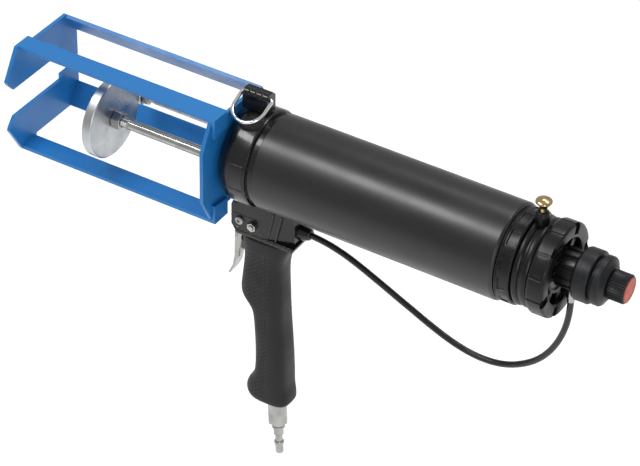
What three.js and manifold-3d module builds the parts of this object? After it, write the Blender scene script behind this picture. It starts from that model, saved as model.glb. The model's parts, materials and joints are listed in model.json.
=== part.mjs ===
// Pneumatic two-cartridge caulking gun: a sheet-metal cradle, an air cylinder, a pistol
// grip with a lever trigger, an air hose and a pressure regulator.
// Millimetres. +X runs back along the air cylinder, +Z is up, -Y is the side that the
// hang ring swings over. The origin is on the cylinder's axis, at the back plate's front face.

import * as THREE from 'three';
import { mergeVertices } from 'three/addons/utils/BufferGeometryUtils.js';
import Module from 'manifold-3d';

const wasm = await Module();
wasm.setup();

// ---------------------------------------------------------------- driving dimensions

const FIT = 0.3; // gap between pieces that touch or are cut to each other
const RUN = 0.25; // running clearance round a shaft

const SHEET = 3; // cradle and back plate thickness
const BAY = 175; // clear length between the front plate and the back plate
const CRADLE_HALF_HEIGHT = 47.6;
const PLATE_HALF_HEIGHT = 43; // free top and bottom edges of the front plate
const STRIP_NEAR = -39; // near edge of the flat rails
const STRIP_WIDTH = 17.5;
const TOP_STRIP_FRONT_WIDTH = 15.5; // the upper flat rail tapers towards the front
const FAR_EDGE = 37.5; // far edge of both plates
const FAR_CORNER = 25.5; // where the slanted far rails begin
const FAR_CORNER_DROP = 17;
const ARM_TIP = -54; // how far the front plate's two arms reach
const ARM_TIP_HALF_HEIGHT = 22.5;
const BACK_PLATE_NEAR = -50.5;
const SLOT_HALF = 12.5; // nozzle slot for the large cartridge
const SLOT_END = 15;
const SMALL_SLOT_HALF = 7.5; // narrower end for the small cartridge
const SMALL_SLOT_END = 27;
const TAB_HEIGHT = 16.5; // rail ends bent over behind the back plate

const BARREL_RADIUS = 38;
const BARREL_WALL = 3;
const BARREL_LENGTH = 205.2;
const BORE_SEGMENTS = 40; // shared by everything that runs in the bore
const RING_PROUD = 1.2; // the front casting stands proud of the barrel
const RING_LENGTH = 25;
const NECK_LENGTH = 5;
const SPIGOT_LENGTH = 9.5;

const MAIN_ROD_Y = -21;
const MAIN_ROD_RADIUS = 4.25;
const MAIN_THREAD_RADIUS = 3.9;
const MAIN_DISC_RADIUS = 32.5;
const DISC_THICKNESS = 8.5;
const DISC_BACK = -98; // rear face of the pressing discs, mid-stroke
const SMALL_ROD_Y = 19.5;
const SMALL_ROD_Z = -2.5;
const SMALL_ROD_RADIUS = 3;
const SMALL_THREAD_RADIUS = 2.6;
const SMALL_DISC_RADIUS = 7;
const MAIN_NUT_FLATS = 13;
const SMALL_NUT_FLATS = 10;
const MAIN_NUT_HEIGHT = 8;
const SMALL_NUT_HEIGHT = 5;
const PISTON_FRONT = 112;
const PISTON_THICKNESS = 16;

const WINDOW_RING_LENGTH = 12.7;
const WINDOW_RING_STEP = 1.6; // how far each rear ring lies below the barrel
const WINDOW_COUNT = 12;
const BEAD_RING_LENGTH = 12.9;
const BEAD_RING_STEP = 3;
const LOCK_RING_LENGTH = 14.5;
const LOCK_RING_STEP = 1.2;
const LOCK_LANDS = 12;
const REAR_RING_WALL = 5; // least wall of the rear rings round the cap's boss
const CAP_SPIGOT_LENGTH = 14;

const REGULATOR_Z = 4.5; // the regulator sits above the cylinder's axis
const REGULATOR_STEM_RADIUS = 13.7;
const STEM_DEPTH = 12;
const SPLINE_RADIUS = 15.5;
const SPLINE_COUNT = 18;
const SPLINE_LENGTH = 14.4;
const COLLAR_RADIUS = 20.4;
const COLLAR_LENGTH = 13.7;
const GAUGE_RING_RADIUS = 19;
const GAUGE_RING_LENGTH = 11;
const KNOB_RADIUS = 11.3;
const KNOB_LENGTH = 14;
const KNURL_COUNT = 30;

const BLEED_STEM_RADIUS = 3; // brass bleed button on top of the bead ring
const BLEED_HEAD_RADIUS = 6.3;
const BLEED_HEAD_LIFT = 17; // head's underside above the bead ring
const BLEED_COLLAR_RADIUS = 5.5;

const HEAD_FRONT = 4.5; // cast handle head under the barrel
const HEAD_BACK = 59;
const HEAD_DEPTH = 30.8; // below the front casting
const HEAD_HALF_WIDTH = 14;
const HEAD_TAIL_HALF_WIDTH = 9;
const PIVOT_X = 9; // trigger pin
const PIVOT_RISE = 7; // trigger pin above the head's foot
const PIN_RADIUS = 2;
const VALVE_DROP = 14; // valve's axis below the head's foot
const VALVE_RADIUS = 6;
const VALVE_STEM_RADIUS = 2.4;
const TRIGGER_HALF_WIDTH = 6;
const TRIGGER_SHEET = 1.6;

const GRIP_HALF_WIDTH = 14;
const GRIP_LENGTH = 168.7;
const INLET_X = 39.6;
const INLET_LEAN = THREE.MathUtils.degToRad(-3);
const ADAPTER_FLATS = 15;
const ADAPTER_HEX = 17.5;
const ADAPTER_GAP = 0.9; // the leaning hexagon stays clear of the grip's foot
const AIR_BORE = 2.4;

const HOSE_RADIUS = 2.5;
const LUG_FRONT = 6.5;
const LUG_LENGTH = 22;
const LUG_NEAR = -2;
const LUG_FAR = 10;
const LUG_HEIGHT = 16.8;
const HANG_RING_WIRE = 1.5;
const HANG_RING_HALF = 13.3;
const HANG_RING_DEPTH = 25;
const HANG_BAR_Y = 2;
const HANG_BAR_DROP = 4; // below the lug's top
const HANG_RING_ANGLE = THREE.MathUtils.degToRad(25);

// places that follow from the dimensions above
const RING_RADIUS = BARREL_RADIUS + RING_PROUD;
const WINDOW_RING_RADIUS = BARREL_RADIUS - WINDOW_RING_STEP;
const BEAD_RING_RADIUS = BARREL_RADIUS - BEAD_RING_STEP;
const LOCK_RING_RADIUS = BARREL_RADIUS - LOCK_RING_STEP;
const CAP_BOSS_RADIUS = BEAD_RING_RADIUS - REAR_RING_WALL - FIT;
const BLEED_HEAD_Z = BEAD_RING_RADIUS + BLEED_HEAD_LIFT;
const BLEED_FOOT_Z = BEAD_RING_RADIUS - 9;
const HEAD_BOTTOM = -RING_RADIUS - HEAD_DEPTH;
const PIVOT_Z = HEAD_BOTTOM + PIVOT_RISE;
const VALVE_Z = HEAD_BOTTOM - VALVE_DROP;
const GRIP_TOP = HEAD_BOTTOM - FIT;
const GRIP_BOTTOM = GRIP_TOP - GRIP_LENGTH;
const LUG_TOP = RING_RADIUS + LUG_HEIGHT;
const HANG_BAR_Z = LUG_TOP - HANG_BAR_DROP;
const STRIP_FAR = STRIP_NEAR + STRIP_WIDTH;
const TAB_FRONT = SHEET + 0.2;
const TAB_BACK = TAB_FRONT + SHEET;
const RING_FRONT = TAB_BACK + FIT;
const RING_BACK = RING_FRONT + RING_LENGTH;
const NECK_BACK = RING_BACK + NECK_LENGTH;
const BARREL_FRONT = NECK_BACK + FIT;
const BARREL_BACK = BARREL_FRONT + BARREL_LENGTH;
const BORE_RADIUS = BARREL_RADIUS - BARREL_WALL;
const SPIGOT_RADIUS = BORE_RADIUS - FIT;
const SPIGOT_BACK = NECK_BACK + SPIGOT_LENGTH;
const PISTON_BACK = PISTON_FRONT + PISTON_THICKNESS;
const WINDOW_RING_FRONT = BARREL_BACK + FIT;
const WINDOW_RING_BACK = WINDOW_RING_FRONT + WINDOW_RING_LENGTH;
const BEAD_RING_FRONT = WINDOW_RING_BACK + FIT;
const BEAD_RING_BACK = BEAD_RING_FRONT + BEAD_RING_LENGTH;
const BLEED_X = BEAD_RING_FRONT + BLEED_COLLAR_RADIUS + 0.1;
const LOCK_RING_FRONT = BEAD_RING_BACK + FIT;
const LOCK_RING_BACK = LOCK_RING_FRONT + LOCK_RING_LENGTH;
const CAP_BACK = LOCK_RING_BACK - 4;
const SPLINE_FRONT = CAP_BACK + 0.6;
const COLLAR_FRONT = CAP_BACK + 0.6 + SPLINE_LENGTH + FIT;
const COLLAR_BACK = COLLAR_FRONT + COLLAR_LENGTH;
const GAUGE_RING_FRONT = COLLAR_BACK + FIT;
const GAUGE_RING_BACK = GAUGE_RING_FRONT + GAUGE_RING_LENGTH;
const KNOB_FRONT = GAUGE_RING_BACK + FIT;
const KNOB_BACK = KNOB_FRONT + KNOB_LENGTH;
const HANDLE_BOLTS = [
  { x: PIVOT_X + 3.5, z: PIVOT_Z + 7, radius: 2 },
  { x: PIVOT_X + 15.5, z: PIVOT_Z + 6, radius: 2 },
];
const RODS = [
  { y: MAIN_ROD_Y, z: 0, radius: MAIN_ROD_RADIUS, thread: MAIN_THREAD_RADIUS },
  { y: SMALL_ROD_Y, z: SMALL_ROD_Z, radius: SMALL_ROD_RADIUS, thread: SMALL_THREAD_RADIUS },
];

// The hose leaves the handle head, loops under the barrel and rises to the regulator.
const HOSE_ROUTE = [
  [65.6, 0, -57], [72, 0, -57.5], [82, 0, -58.8], [93.9, 0, -61.6], [104.5, 0, -65.2],
  [115.5, 0, -69.8], [126, 0, -74.6], [137.1, 0, -79.8], [148, 0, -85], [158.6, 0, -89.9],
  [169.5, 0, -95.1], [180, 0, -99.7], [190.5, 0, -103.8], [201.2, 0, -107], [212, 0, -109],
  [222.5, 0, -109.5], [232.8, 0, -108.4], [242.5, 0, -105.6], [251.5, 0, -101.2],
  [260, 0, -95.4], [267.5, 0, -88.4], [274, 0, -80], [279.3, 0, -70.6], [283.4, 0, -60.6],
  [286.3, 0, -50.5], [287.9, 0, -41], [288.6, 0, -32], [288.8, 0, -25.2],
];

const HOSE_START = HOSE_ROUTE[0];
const HOSE_END = HOSE_ROUTE[HOSE_ROUTE.length - 1];

// ---------------------------------------------------------------- materials

function finish(color, roughness, metalness) {
  return new THREE.MeshStandardMaterial({ color, roughness, metalness });
}

const bluePaint = finish(0x2f7fc4, 0.42, 0.1);
const glossBlack = finish(0x17181a, 0.28, 0.2);
const satinBlack = finish(0x222326, 0.42, 0.3);
const blackPlastic = finish(0x1c1d1f, 0.4, 0);
const gripPlastic = finish(0x1a1a1b, 0.6, 0);
const machinedAluminium = finish(0xc9cbce, 0.34, 1);
const zincSteel = finish(0xc4c6c4, 0.3, 1);
const chromeSteel = finish(0xd9dbdd, 0.12, 1);
const springSteel = finish(0x8f9296, 0.35, 1);
const brass = finish(0xc9a24e, 0.22, 1);
const rubber = finish(0x151515, 0.75, 0);
const redPlastic = finish(0xc2412c, 0.45, 0);

// ---------------------------------------------------------------- solid helpers

// A geometry as a closed manifold solid, with shared corners and no slivers at the poles.
function solid(geometry) {
  const bare = new THREE.BufferGeometry();
  bare.setAttribute('position', geometry.attributes.position);
  if (geometry.index) bare.setIndex(geometry.index);
  const merged = mergeVertices(bare, 1e-4);
  const corners = merged.index.array;
  const triangles = [];
  for (let i = 0; i < corners.length; i += 3) {
    const [a, b, c] = [corners[i], corners[i + 1], corners[i + 2]];
    if (a !== b && b !== c && c !== a) triangles.push(a, b, c);
  }
  const mesh = new wasm.Mesh({
    numProp: 3,
    vertProperties: new Float32Array(merged.attributes.position.array),
    triVerts: new Uint32Array(triangles),
  });
  return new wasm.Manifold(mesh);
}

function toGeometry(manifold) {
  const mesh = manifold.getMesh();
  const geometry = new THREE.BufferGeometry();
  geometry.setAttribute('position', new THREE.BufferAttribute(mesh.vertProperties, 3));
  geometry.setIndex(new THREE.BufferAttribute(mesh.triVerts, 1));
  geometry.computeVertexNormals();
  return geometry;
}

// A turned piece: [x, radius] pairs, outer side towards +X first, round the X axis.
function turned(profile, segments = 32) {
  const points = profile.map(([x, radius]) => new THREE.Vector2(radius, x));
  const geometry = new THREE.LatheGeometry(points, segments);
  return solid(geometry.rotateZ(-Math.PI / 2));
}

function rod(x0, x1, radius, segments = 16) {
  return turned([[x0, 0], [x0, radius], [x1, radius], [x1, 0]], segments);
}

// A turned tube, from its outside and its inside.
function tube(x0, x1, outer, inner, segments = 32) {
  return turned([[x0, inner], [x0, outer], [x1, outer], [x1, inner], [x0, inner]], segments);
}

// Turns a piece built along X so that it runs along Z or Y.
function alongZ(piece) {
  return piece.rotate([0, -90, 0]);
}

function alongY(piece) {
  return piece.rotate([0, 0, 90]);
}

function polygon(points) {
  return new THREE.Shape(points.map(([u, v]) => new THREE.Vector2(u, v)));
}

// A plate square to X from an outline in Y and Z.
function plateAcrossX(outline, x0, thickness) {
  const shape = outline instanceof THREE.Shape ? outline : polygon(outline);
  const geometry = new THREE.ExtrudeGeometry(shape, { depth: thickness, bevelEnabled: false });
  const axes = new THREE.Matrix4().makeBasis(
    new THREE.Vector3(0, 1, 0), new THREE.Vector3(0, 0, 1), new THREE.Vector3(1, 0, 0));
  return solid(geometry.applyMatrix4(axes).translate(x0, 0, 0));
}

// A plate square to Z from an outline in X and Y.
function plateAcrossZ(outline, z0, thickness) {
  const options = { depth: thickness, bevelEnabled: false };
  const geometry = new THREE.ExtrudeGeometry(polygon(outline), options);
  return solid(geometry.translate(0, 0, z0));
}

// A block of a side profile in X and Z, from one Y to another.
function sideBlock(outline, y0, y1) {
  const options = { depth: y1 - y0, bevelEnabled: false };
  const geometry = new THREE.ExtrudeGeometry(polygon(outline), options);
  return solid(geometry.rotateX(Math.PI / 2).translate(0, y1, 0));
}

function box(low, high) {
  const size = high.map((value, i) => value - low[i]);
  const middle = high.map((value, i) => (value + low[i]) / 2);
  return solid(new THREE.BoxGeometry(...size).translate(...middle));
}

function hexPrism(x0, x1, flats) {
  return rod(x0, x1, flats / Math.sqrt(3), 6);
}

function mirrored(points) {
  return points.map(([u, v]) => [u, -v]).reverse();
}

// A closed loft through rings of points, one list per level.
function loft(levels) {
  const count = levels[0].length;
  const positions = levels.flat(2);
  const triangles = [];
  for (let i = 0; i + 1 < levels.length; i += 1) {
    for (let j = 0; j < count; j += 1) {
      const a = i * count + j;
      const b = i * count + ((j + 1) % count);
      triangles.push(a, b, b + count, a, b + count, a + count);
    }
  }
  for (let j = 1; j + 1 < count; j += 1) {
    const last = (levels.length - 1) * count;
    triangles.push(0, j + 1, j, last, last + j, last + j + 1);
  }
  const geometry = new THREE.BufferGeometry();
  geometry.setAttribute('position', new THREE.Float32BufferAttribute(positions, 3));
  geometry.setIndex(triangles);
  return solid(geometry);
}

// A helical compression spring along X.
function spring(x0, x1, radius, wire, turns) {
  const steps = turns * 8;
  const points = [];
  for (let i = 0; i <= steps; i += 1) {
    const angle = (i / steps) * turns * Math.PI * 2;
    const x = x0 + wire + ((x1 - x0 - 2 * wire) * i) / steps;
    points.push(new THREE.Vector3(x, radius * Math.cos(angle), radius * Math.sin(angle)));
  }
  const extrudePath = new THREE.CatmullRomCurve3(points);
  const section = new THREE.Shape().absarc(0, 0, wire, 0, Math.PI * 2);
  const options = { steps, extrudePath, curveSegments: 2, bevelEnabled: false };
  return solid(new THREE.ExtrudeGeometry(section, options));
}

const gun = new THREE.Group();

function add(name, manifold, material, parent = gun) {
  const mesh = new THREE.Mesh(toGeometry(manifold), material);
  mesh.name = name;
  parent.add(mesh);
  return mesh;
}

// ---------------------------------------------------------------- cradle

// A plate's upper far corner is chamfered, and a slanted rail lies along the chamfer.
// This is the chamfer's two ends, moved square to it into the cradle.
function farCorners(inset) {
  const run = new THREE.Vector2(FAR_EDGE - FAR_CORNER, -FAR_CORNER_DROP).normalize();
  return [
    [FAR_CORNER + run.y * inset, PLATE_HALF_HEIGHT - run.x * inset],
    [FAR_EDGE + run.y * inset, PLATE_HALF_HEIGHT - FAR_CORNER_DROP - run.x * inset],
  ];
}

function frontPlateOutline() {
  const upper = [
    [SMALL_SLOT_END, SMALL_SLOT_HALF],
    [SLOT_END, SMALL_SLOT_HALF],
    [SLOT_END, SLOT_HALF],
    [ARM_TIP + 7.5, SLOT_HALF],
    [ARM_TIP + 1.5, ARM_TIP_HALF_HEIGHT - 3],
    [ARM_TIP, ARM_TIP_HALF_HEIGHT],
    [STRIP_NEAR, CRADLE_HALF_HEIGHT],
    [STRIP_FAR, CRADLE_HALF_HEIGHT],
    [STRIP_FAR + 1.5, PLATE_HALF_HEIGHT],
    ...farCorners(0),
  ];
  return [...mirrored(upper), ...upper].reverse();
}

// A rail that lies along a chamfered far corner; side is 1 above and -1 below.
function slantedRail(side) {
  const section = [...farCorners(0), ...farCorners(SHEET).reverse()];
  const outline = side > 0 ? section : mirrored(section);
  return plateAcrossX(outline, -BAY - SHEET, BAY + SHEET + TAB_BACK);
}

function flatRail(side, frontWidth) {
  const z0 = side > 0 ? CRADLE_HALF_HEIGHT - SHEET : -CRADLE_HALF_HEIGHT;
  const outline = [
    [-BAY - SHEET, STRIP_FAR - frontWidth],
    [TAB_BACK, STRIP_NEAR],
    [TAB_BACK, STRIP_FAR],
    [-BAY - SHEET, STRIP_FAR],
  ];
  return plateAcrossZ(outline, z0, SHEET);
}

function railTab(side) {
  const near = [
    [STRIP_NEAR, CRADLE_HALF_HEIGHT - TAB_HEIGHT],
    [STRIP_FAR, CRADLE_HALF_HEIGHT - TAB_HEIGHT + 2],
    [STRIP_FAR, CRADLE_HALF_HEIGHT],
    [STRIP_NEAR, CRADLE_HALF_HEIGHT],
  ];
  const outline = side > 0 ? near : mirrored(near);
  return plateAcrossX(outline, TAB_FRONT, SHEET);
}

function slantedTab(side) {
  const [outerA, outerB] = farCorners(0);
  const tab = [
    [outerA[0] - 7.5, outerA[1] - 5.5],
    [outerB[0] - 7.5, outerB[1] - 5.5],
    outerB, outerA,
  ];
  return plateAcrossX(side > 0 ? tab : mirrored(tab), TAB_FRONT, SHEET);
}

function cradle() {
  let sheet = plateAcrossX(frontPlateOutline(), -BAY - SHEET, SHEET);
  sheet = sheet.add(flatRail(1, TOP_STRIP_FRONT_WIDTH)).add(flatRail(-1, STRIP_WIDTH));
  for (const side of [1, -1]) {
    sheet = sheet.add(slantedRail(side)).add(railTab(side)).add(slantedTab(side));
  }
  return sheet;
}

function backPlate() {
  const inner = CRADLE_HALF_HEIGHT - SHEET - FIT;
  const [cornerA, cornerB] = farCorners(SHEET + FIT);
  const upper = [
    [BACK_PLATE_NEAR, ARM_TIP_HALF_HEIGHT],
    [STRIP_NEAR, inner],
    [STRIP_FAR, inner],
    [STRIP_FAR + 1.5, cornerA[1]],
    cornerA,
    cornerB,
  ];
  let plate = plateAcrossX([...mirrored(upper), ...upper].reverse(), 0, SHEET);
  for (const { y, z, radius } of RODS) {
    plate = plate.subtract(rod(-1, SHEET + 1, radius + 0.8).translate(0, y, z));
  }
  return plate;
}

// ---------------------------------------------------------------- air cylinder

function frontHousing() {
  let casting = turned([
    [RING_FRONT, 0], [RING_FRONT, RING_RADIUS - 6.2], [RING_FRONT + 2.5, RING_RADIUS - 3],
    [RING_FRONT + 5, RING_RADIUS - 1.2], [RING_FRONT + 8, RING_RADIUS],
    [RING_BACK - 0.8, RING_RADIUS], [RING_BACK, RING_RADIUS - 0.8],
    [RING_BACK, BARREL_RADIUS - 2], [NECK_BACK, BARREL_RADIUS - 2],
    [NECK_BACK, SPIGOT_RADIUS], [SPIGOT_BACK, SPIGOT_RADIUS], [SPIGOT_BACK, 0],
  ]);
  for (const { y, z, radius } of RODS) {
    const bore = rod(RING_FRONT - 1, SPIGOT_BACK + 1, radius + RUN);
    const pocket = rod(SPIGOT_BACK - 5, SPIGOT_BACK + 1, radius + 3.2);
    casting = casting.subtract(bore.add(pocket).translate(0, y, z));
  }
  const pad = box([RING_FRONT + 11, -RING_RADIUS - 1, -9], [RING_BACK - 2, -RING_RADIUS + 0.9, 14]);
  return casting.subtract(pad);
}

function rodSeal({ y, z, radius }) {
  return tube(SPIGOT_BACK - 4.7, SPIGOT_BACK - 0.7, radius + 2.9, radius + 0.15, 16)
    .translate(0, y, z);
}

function barrelTube() {
  return turned([
    [BARREL_FRONT, BORE_RADIUS], [BARREL_FRONT, BARREL_RADIUS - 0.6],
    [BARREL_FRONT + 0.6, BARREL_RADIUS], [BARREL_BACK - 2.2, BARREL_RADIUS],
    [BARREL_BACK - 0.6, BARREL_RADIUS - 0.8], [BARREL_BACK, BARREL_RADIUS - 1.8],
    [BARREL_BACK, BORE_RADIUS], [BARREL_FRONT, BORE_RADIUS],
  ], BORE_SEGMENTS);
}

function piston() {
  const body = BORE_RADIUS - 0.6;
  let disc = turned([
    [PISTON_FRONT, 0], [PISTON_FRONT, body - 1], [PISTON_FRONT + 1, body],
    [PISTON_FRONT + 5.5, body], [PISTON_FRONT + 5.5, body - 3],
    [PISTON_BACK - 5.5, body - 3], [PISTON_BACK - 5.5, body],
    [PISTON_BACK - 1, body], [PISTON_BACK, body - 1], [PISTON_BACK, 0],
  ], BORE_SEGMENTS);
  for (const { y, z, thread } of RODS) {
    disc = disc.subtract(rod(PISTON_FRONT - 1, PISTON_BACK + 1, thread + FIT).translate(0, y, z));
  }
  return disc;
}

function pistonSeal() {
  const inner = BORE_RADIUS - 3.3;
  return tube(PISTON_FRONT + 5.8, PISTON_BACK - 5.8, BORE_RADIUS - 0.15, inner, BORE_SEGMENTS);
}

// A piston rod: threaded through the pressing disc in front and through the piston behind.
function pistonRod({ y, z, radius, thread }, threadedFront) {
  const front = DISC_BACK - DISC_THICKNESS - 1;
  const back = PISTON_BACK + 9;
  return turned([
    [front, 0], [front, thread - 0.8], [front + 0.8, thread], [threadedFront, thread],
    [threadedFront, radius], [PISTON_FRONT - FIT, radius], [PISTON_FRONT - FIT, thread],
    [back - 0.8, thread], [back, thread - 0.8], [back, 0],
  ], 16).translate(0, y, z);
}

function pressingDisc({ y, z, thread }, radius) {
  const front = DISC_BACK - DISC_THICKNESS;
  const bore = thread + FIT;
  return turned([
    [front, bore], [front, radius - 0.8], [front + 0.8, radius],
    [DISC_BACK - 0.8, radius], [DISC_BACK, radius - 0.8], [DISC_BACK, bore], [front, bore],
  ], radius > 20 ? 40 : 20).translate(0, y, z);
}

function nut({ y, z, thread }, x0, height, flats) {
  const body = hexPrism(x0, x0 + height, flats);
  return body.subtract(rod(x0 - 1, x0 + height + 1, thread + FIT)).translate(0, y, z);
}

// ---------------------------------------------------------------- rear rings and cap

function windowRing() {
  const inner = CAP_BOSS_RADIUS + FIT;
  let ring = tube(WINDOW_RING_FRONT, WINDOW_RING_BACK, WINDOW_RING_RADIUS, inner, 36);
  const width = 2 * Math.PI * WINDOW_RING_RADIUS * 0.62 / WINDOW_COUNT;
  for (let i = 0; i < WINDOW_COUNT; i += 1) {
    const pocket = box(
      [WINDOW_RING_FRONT + 3.6, -width / 2, WINDOW_RING_RADIUS - 2.2],
      [WINDOW_RING_BACK - 2.6, width / 2, WINDOW_RING_RADIUS + 2]);
    ring = ring.subtract(pocket.rotate([(i * 360) / WINDOW_COUNT + 6, 0, 0]));
  }
  return ring;
}

function beadRing() {
  const inner = CAP_BOSS_RADIUS + FIT;
  const [a, b, r] = [BEAD_RING_FRONT, BEAD_RING_BACK, BEAD_RING_RADIUS];
  const ring = turned([
    [a, inner], [a, r - 1], [a + 1.2, r], [a + 5.2, r], [a + 6.2, r - 1.8], [a + 7.4, r - 1.8],
    [a + 8.4, r - 0.4], [b - 1.4, r - 0.4], [b, r - 1.4], [b, inner], [a, inner],
  ], 36);
  const bore = alongZ(rod(0, BLEED_HEAD_Z, BLEED_STEM_RADIUS + RUN)).translate(BLEED_X, 0, 0);
  return ring.subtract(bore);
}

function lockRing() {
  const [a, b, r] = [LOCK_RING_FRONT, LOCK_RING_BACK, LOCK_RING_RADIUS];
  const inner = CAP_BOSS_RADIUS + FIT;
  let ring = turned([
    [a, inner], [a, r - 1.6], [a + 1, r - 0.6], [a + 1.8, r], [b - 2, r], [b, r - 2.4],
    [b, inner - 4], [CAP_BACK + FIT, inner - 4], [CAP_BACK + FIT, inner], [a, inner],
  ], 36);
  for (let i = 0; i < LOCK_LANDS; i += 1) {
    const groove = box([a - 1, -1.1, r - 0.9], [b + 1, 1.1, r + 2]);
    ring = ring.subtract(groove.rotate([(i * 360) / LOCK_LANDS + 12, 0, 0]));
  }
  return ring;
}

function endCap() {
  const front = BARREL_BACK - CAP_SPIGOT_LENGTH;
  const groove = [front + 4, front + 8];
  const cap = turned([
    [front, 0], [front, SPIGOT_RADIUS], [groove[0], SPIGOT_RADIUS],
    [groove[0], SPIGOT_RADIUS - 2.6], [groove[1], SPIGOT_RADIUS - 2.6],
    [groove[1], SPIGOT_RADIUS], [BARREL_BACK, SPIGOT_RADIUS], [BARREL_BACK, CAP_BOSS_RADIUS],
    [CAP_BACK, CAP_BOSS_RADIUS], [CAP_BACK, 24.5], [CAP_BACK - 3, 23], [CAP_BACK - 3, 0],
  ]);
  const stem = rod(CAP_BACK - STEM_DEPTH - FIT, CAP_BACK + 1, REGULATOR_STEM_RADIUS + FIT, 24)
    .translate(0, 0, REGULATOR_Z);
  const bleed = alongZ(rod(CAP_BOSS_RADIUS - 13, BLEED_HEAD_Z, BLEED_STEM_RADIUS + RUN + 0.4))
    .translate(BLEED_X, 0, 0);
  return cap.subtract(stem).subtract(bleed);
}

function endCapSeal() {
  const front = BARREL_BACK - CAP_SPIGOT_LENGTH + 4.3;
  return tube(front, front + 3.4, BORE_RADIUS - 0.1, SPIGOT_RADIUS - 2.3, BORE_SEGMENTS);
}

// ---------------------------------------------------------------- bleed button

function bleedCollar() {
  const sleeve = tube(
    BEAD_RING_RADIUS - 5, BEAD_RING_RADIUS + 10, BLEED_COLLAR_RADIUS, BLEED_STEM_RADIUS + RUN, 24);
  const seat = rod(BEAD_RING_FRONT - 5, BEAD_RING_BACK + 5, BEAD_RING_RADIUS + FIT, 36);
  return alongZ(sleeve).translate(BLEED_X, 0, 0).subtract(seat);
}

function bleedButton() {
  const button = turned([
    [BLEED_FOOT_Z, 0], [BLEED_FOOT_Z, BLEED_STEM_RADIUS - 0.6],
    [BLEED_FOOT_Z + 0.6, BLEED_STEM_RADIUS], [BLEED_HEAD_Z - 3.5, BLEED_STEM_RADIUS],
    [BLEED_HEAD_Z - 2, BLEED_STEM_RADIUS + 0.8],
    [BLEED_HEAD_Z, BLEED_HEAD_RADIUS - 1.2], [BLEED_HEAD_Z + 1.4, BLEED_HEAD_RADIUS],
    [BLEED_HEAD_Z + 2.8, BLEED_HEAD_RADIUS - 0.6], [BLEED_HEAD_Z + 4, BLEED_HEAD_RADIUS - 3],
    [BLEED_HEAD_Z + 4.4, 0],
  ], 20);
  return alongZ(button).translate(BLEED_X, 0, 0);
}

function bleedSpring() {
  return alongZ(spring(CAP_BOSS_RADIUS - 12.7, BLEED_FOOT_Z - FIT, 2, 0.4, 3)).translate(BLEED_X, 0, 0);
}

// ---------------------------------------------------------------- regulator

function regulatorBody() {
  const shank = turned([
    [CAP_BACK - STEM_DEPTH, 0], [CAP_BACK - STEM_DEPTH, REGULATOR_STEM_RADIUS],
    [SPLINE_FRONT, REGULATOR_STEM_RADIUS], [SPLINE_FRONT, SPLINE_RADIUS - 1.5],
    [SPLINE_FRONT + SPLINE_LENGTH, SPLINE_RADIUS - 1.5], [SPLINE_FRONT + SPLINE_LENGTH, 10],
    [GAUGE_RING_FRONT + 2, 10], [GAUGE_RING_FRONT + 2, 0],
  ], 28);
  let body = shank;
  for (let i = 0; i < SPLINE_COUNT; i += 1) {
    const spline = box(
      [SPLINE_FRONT, -1.4, SPLINE_RADIUS - 3], [SPLINE_FRONT + SPLINE_LENGTH, 1.4, SPLINE_RADIUS]);
    body = body.add(spline.rotate([(i * 360) / SPLINE_COUNT, 0, 0]));
  }
  const chamber = rod(SPLINE_FRONT, GAUGE_RING_FRONT + 3, 7.6);
  const port = alongZ(rod(-SPLINE_RADIUS - 5, -6, 2.2, 16)).translate(HOSE_END[0], 0, 0);
  return body.subtract(chamber).subtract(port).translate(0, 0, REGULATOR_Z);
}

function regulatorCollar() {
  const [a, b, r] = [COLLAR_FRONT, COLLAR_BACK, COLLAR_RADIUS];
  return turned([
    [a, 10.3], [a, r - 2.4], [a + 2.4, r], [b - 0.8, r], [b, r - 0.8], [b, 10.3], [a, 10.3],
  ]).translate(0, 0, REGULATOR_Z);
}

function gaugeRing() {
  const [a, b, r] = [GAUGE_RING_FRONT, GAUGE_RING_BACK, GAUGE_RING_RADIUS];
  const ring = turned([
    [a, 0], [a, r - 1.6], [a + 2.2, r - 1.6], [a + 2.6, r], [a + 7.5, r], [a + 8.3, r - 1],
    [a + 8.8, r - 3], [b, KNOB_RADIUS + 2], [b, 0],
  ]);
  const seat = rod(a - 1, a + 2.3, 10.3, 24);
  return ring.subtract(seat).subtract(rod(a, b + 1, 4.2)).translate(0, 0, REGULATOR_Z);
}

function regulatorSpindle() {
  const flange = SPLINE_FRONT + 20;
  return turned([
    [flange, 0], [flange, 7.2], [flange + 2, 7.2], [flange + 2, 3.8],
    [KNOB_BACK - 6, 3.8], [KNOB_BACK - 6, 0],
  ], 24).translate(0, 0, REGULATOR_Z);
}

function adjustKnob() {
  const outline = [];
  for (let i = 0; i < KNURL_COUNT; i += 1) {
    const angle = (i * 2 * Math.PI) / KNURL_COUNT;
    const half = Math.PI / KNURL_COUNT;
    outline.push([KNOB_RADIUS * Math.cos(angle), KNOB_RADIUS * Math.sin(angle)]);
    const low = KNOB_RADIUS - 0.7;
    outline.push([low * Math.cos(angle + half), low * Math.sin(angle + half)]);
  }
  const knurled = plateAcrossX(outline, KNOB_FRONT, KNOB_LENGTH);
  const rim = turned([
    [KNOB_FRONT - 1, 0], [KNOB_FRONT - 1, KNOB_RADIUS + 1], [KNOB_BACK - 1, KNOB_RADIUS],
    [KNOB_BACK, KNOB_RADIUS - 1], [KNOB_BACK, 0],
  ], 30);
  const bore = rod(KNOB_FRONT - 1, KNOB_BACK - 5.7, 3.8 + FIT);
  const seat = rod(KNOB_BACK - 1.2, KNOB_BACK + 1, KNOB_RADIUS - 1.5, 24);
  return knurled.intersect(rim).subtract(bore).subtract(seat).translate(0, 0, REGULATOR_Z);
}

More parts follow.
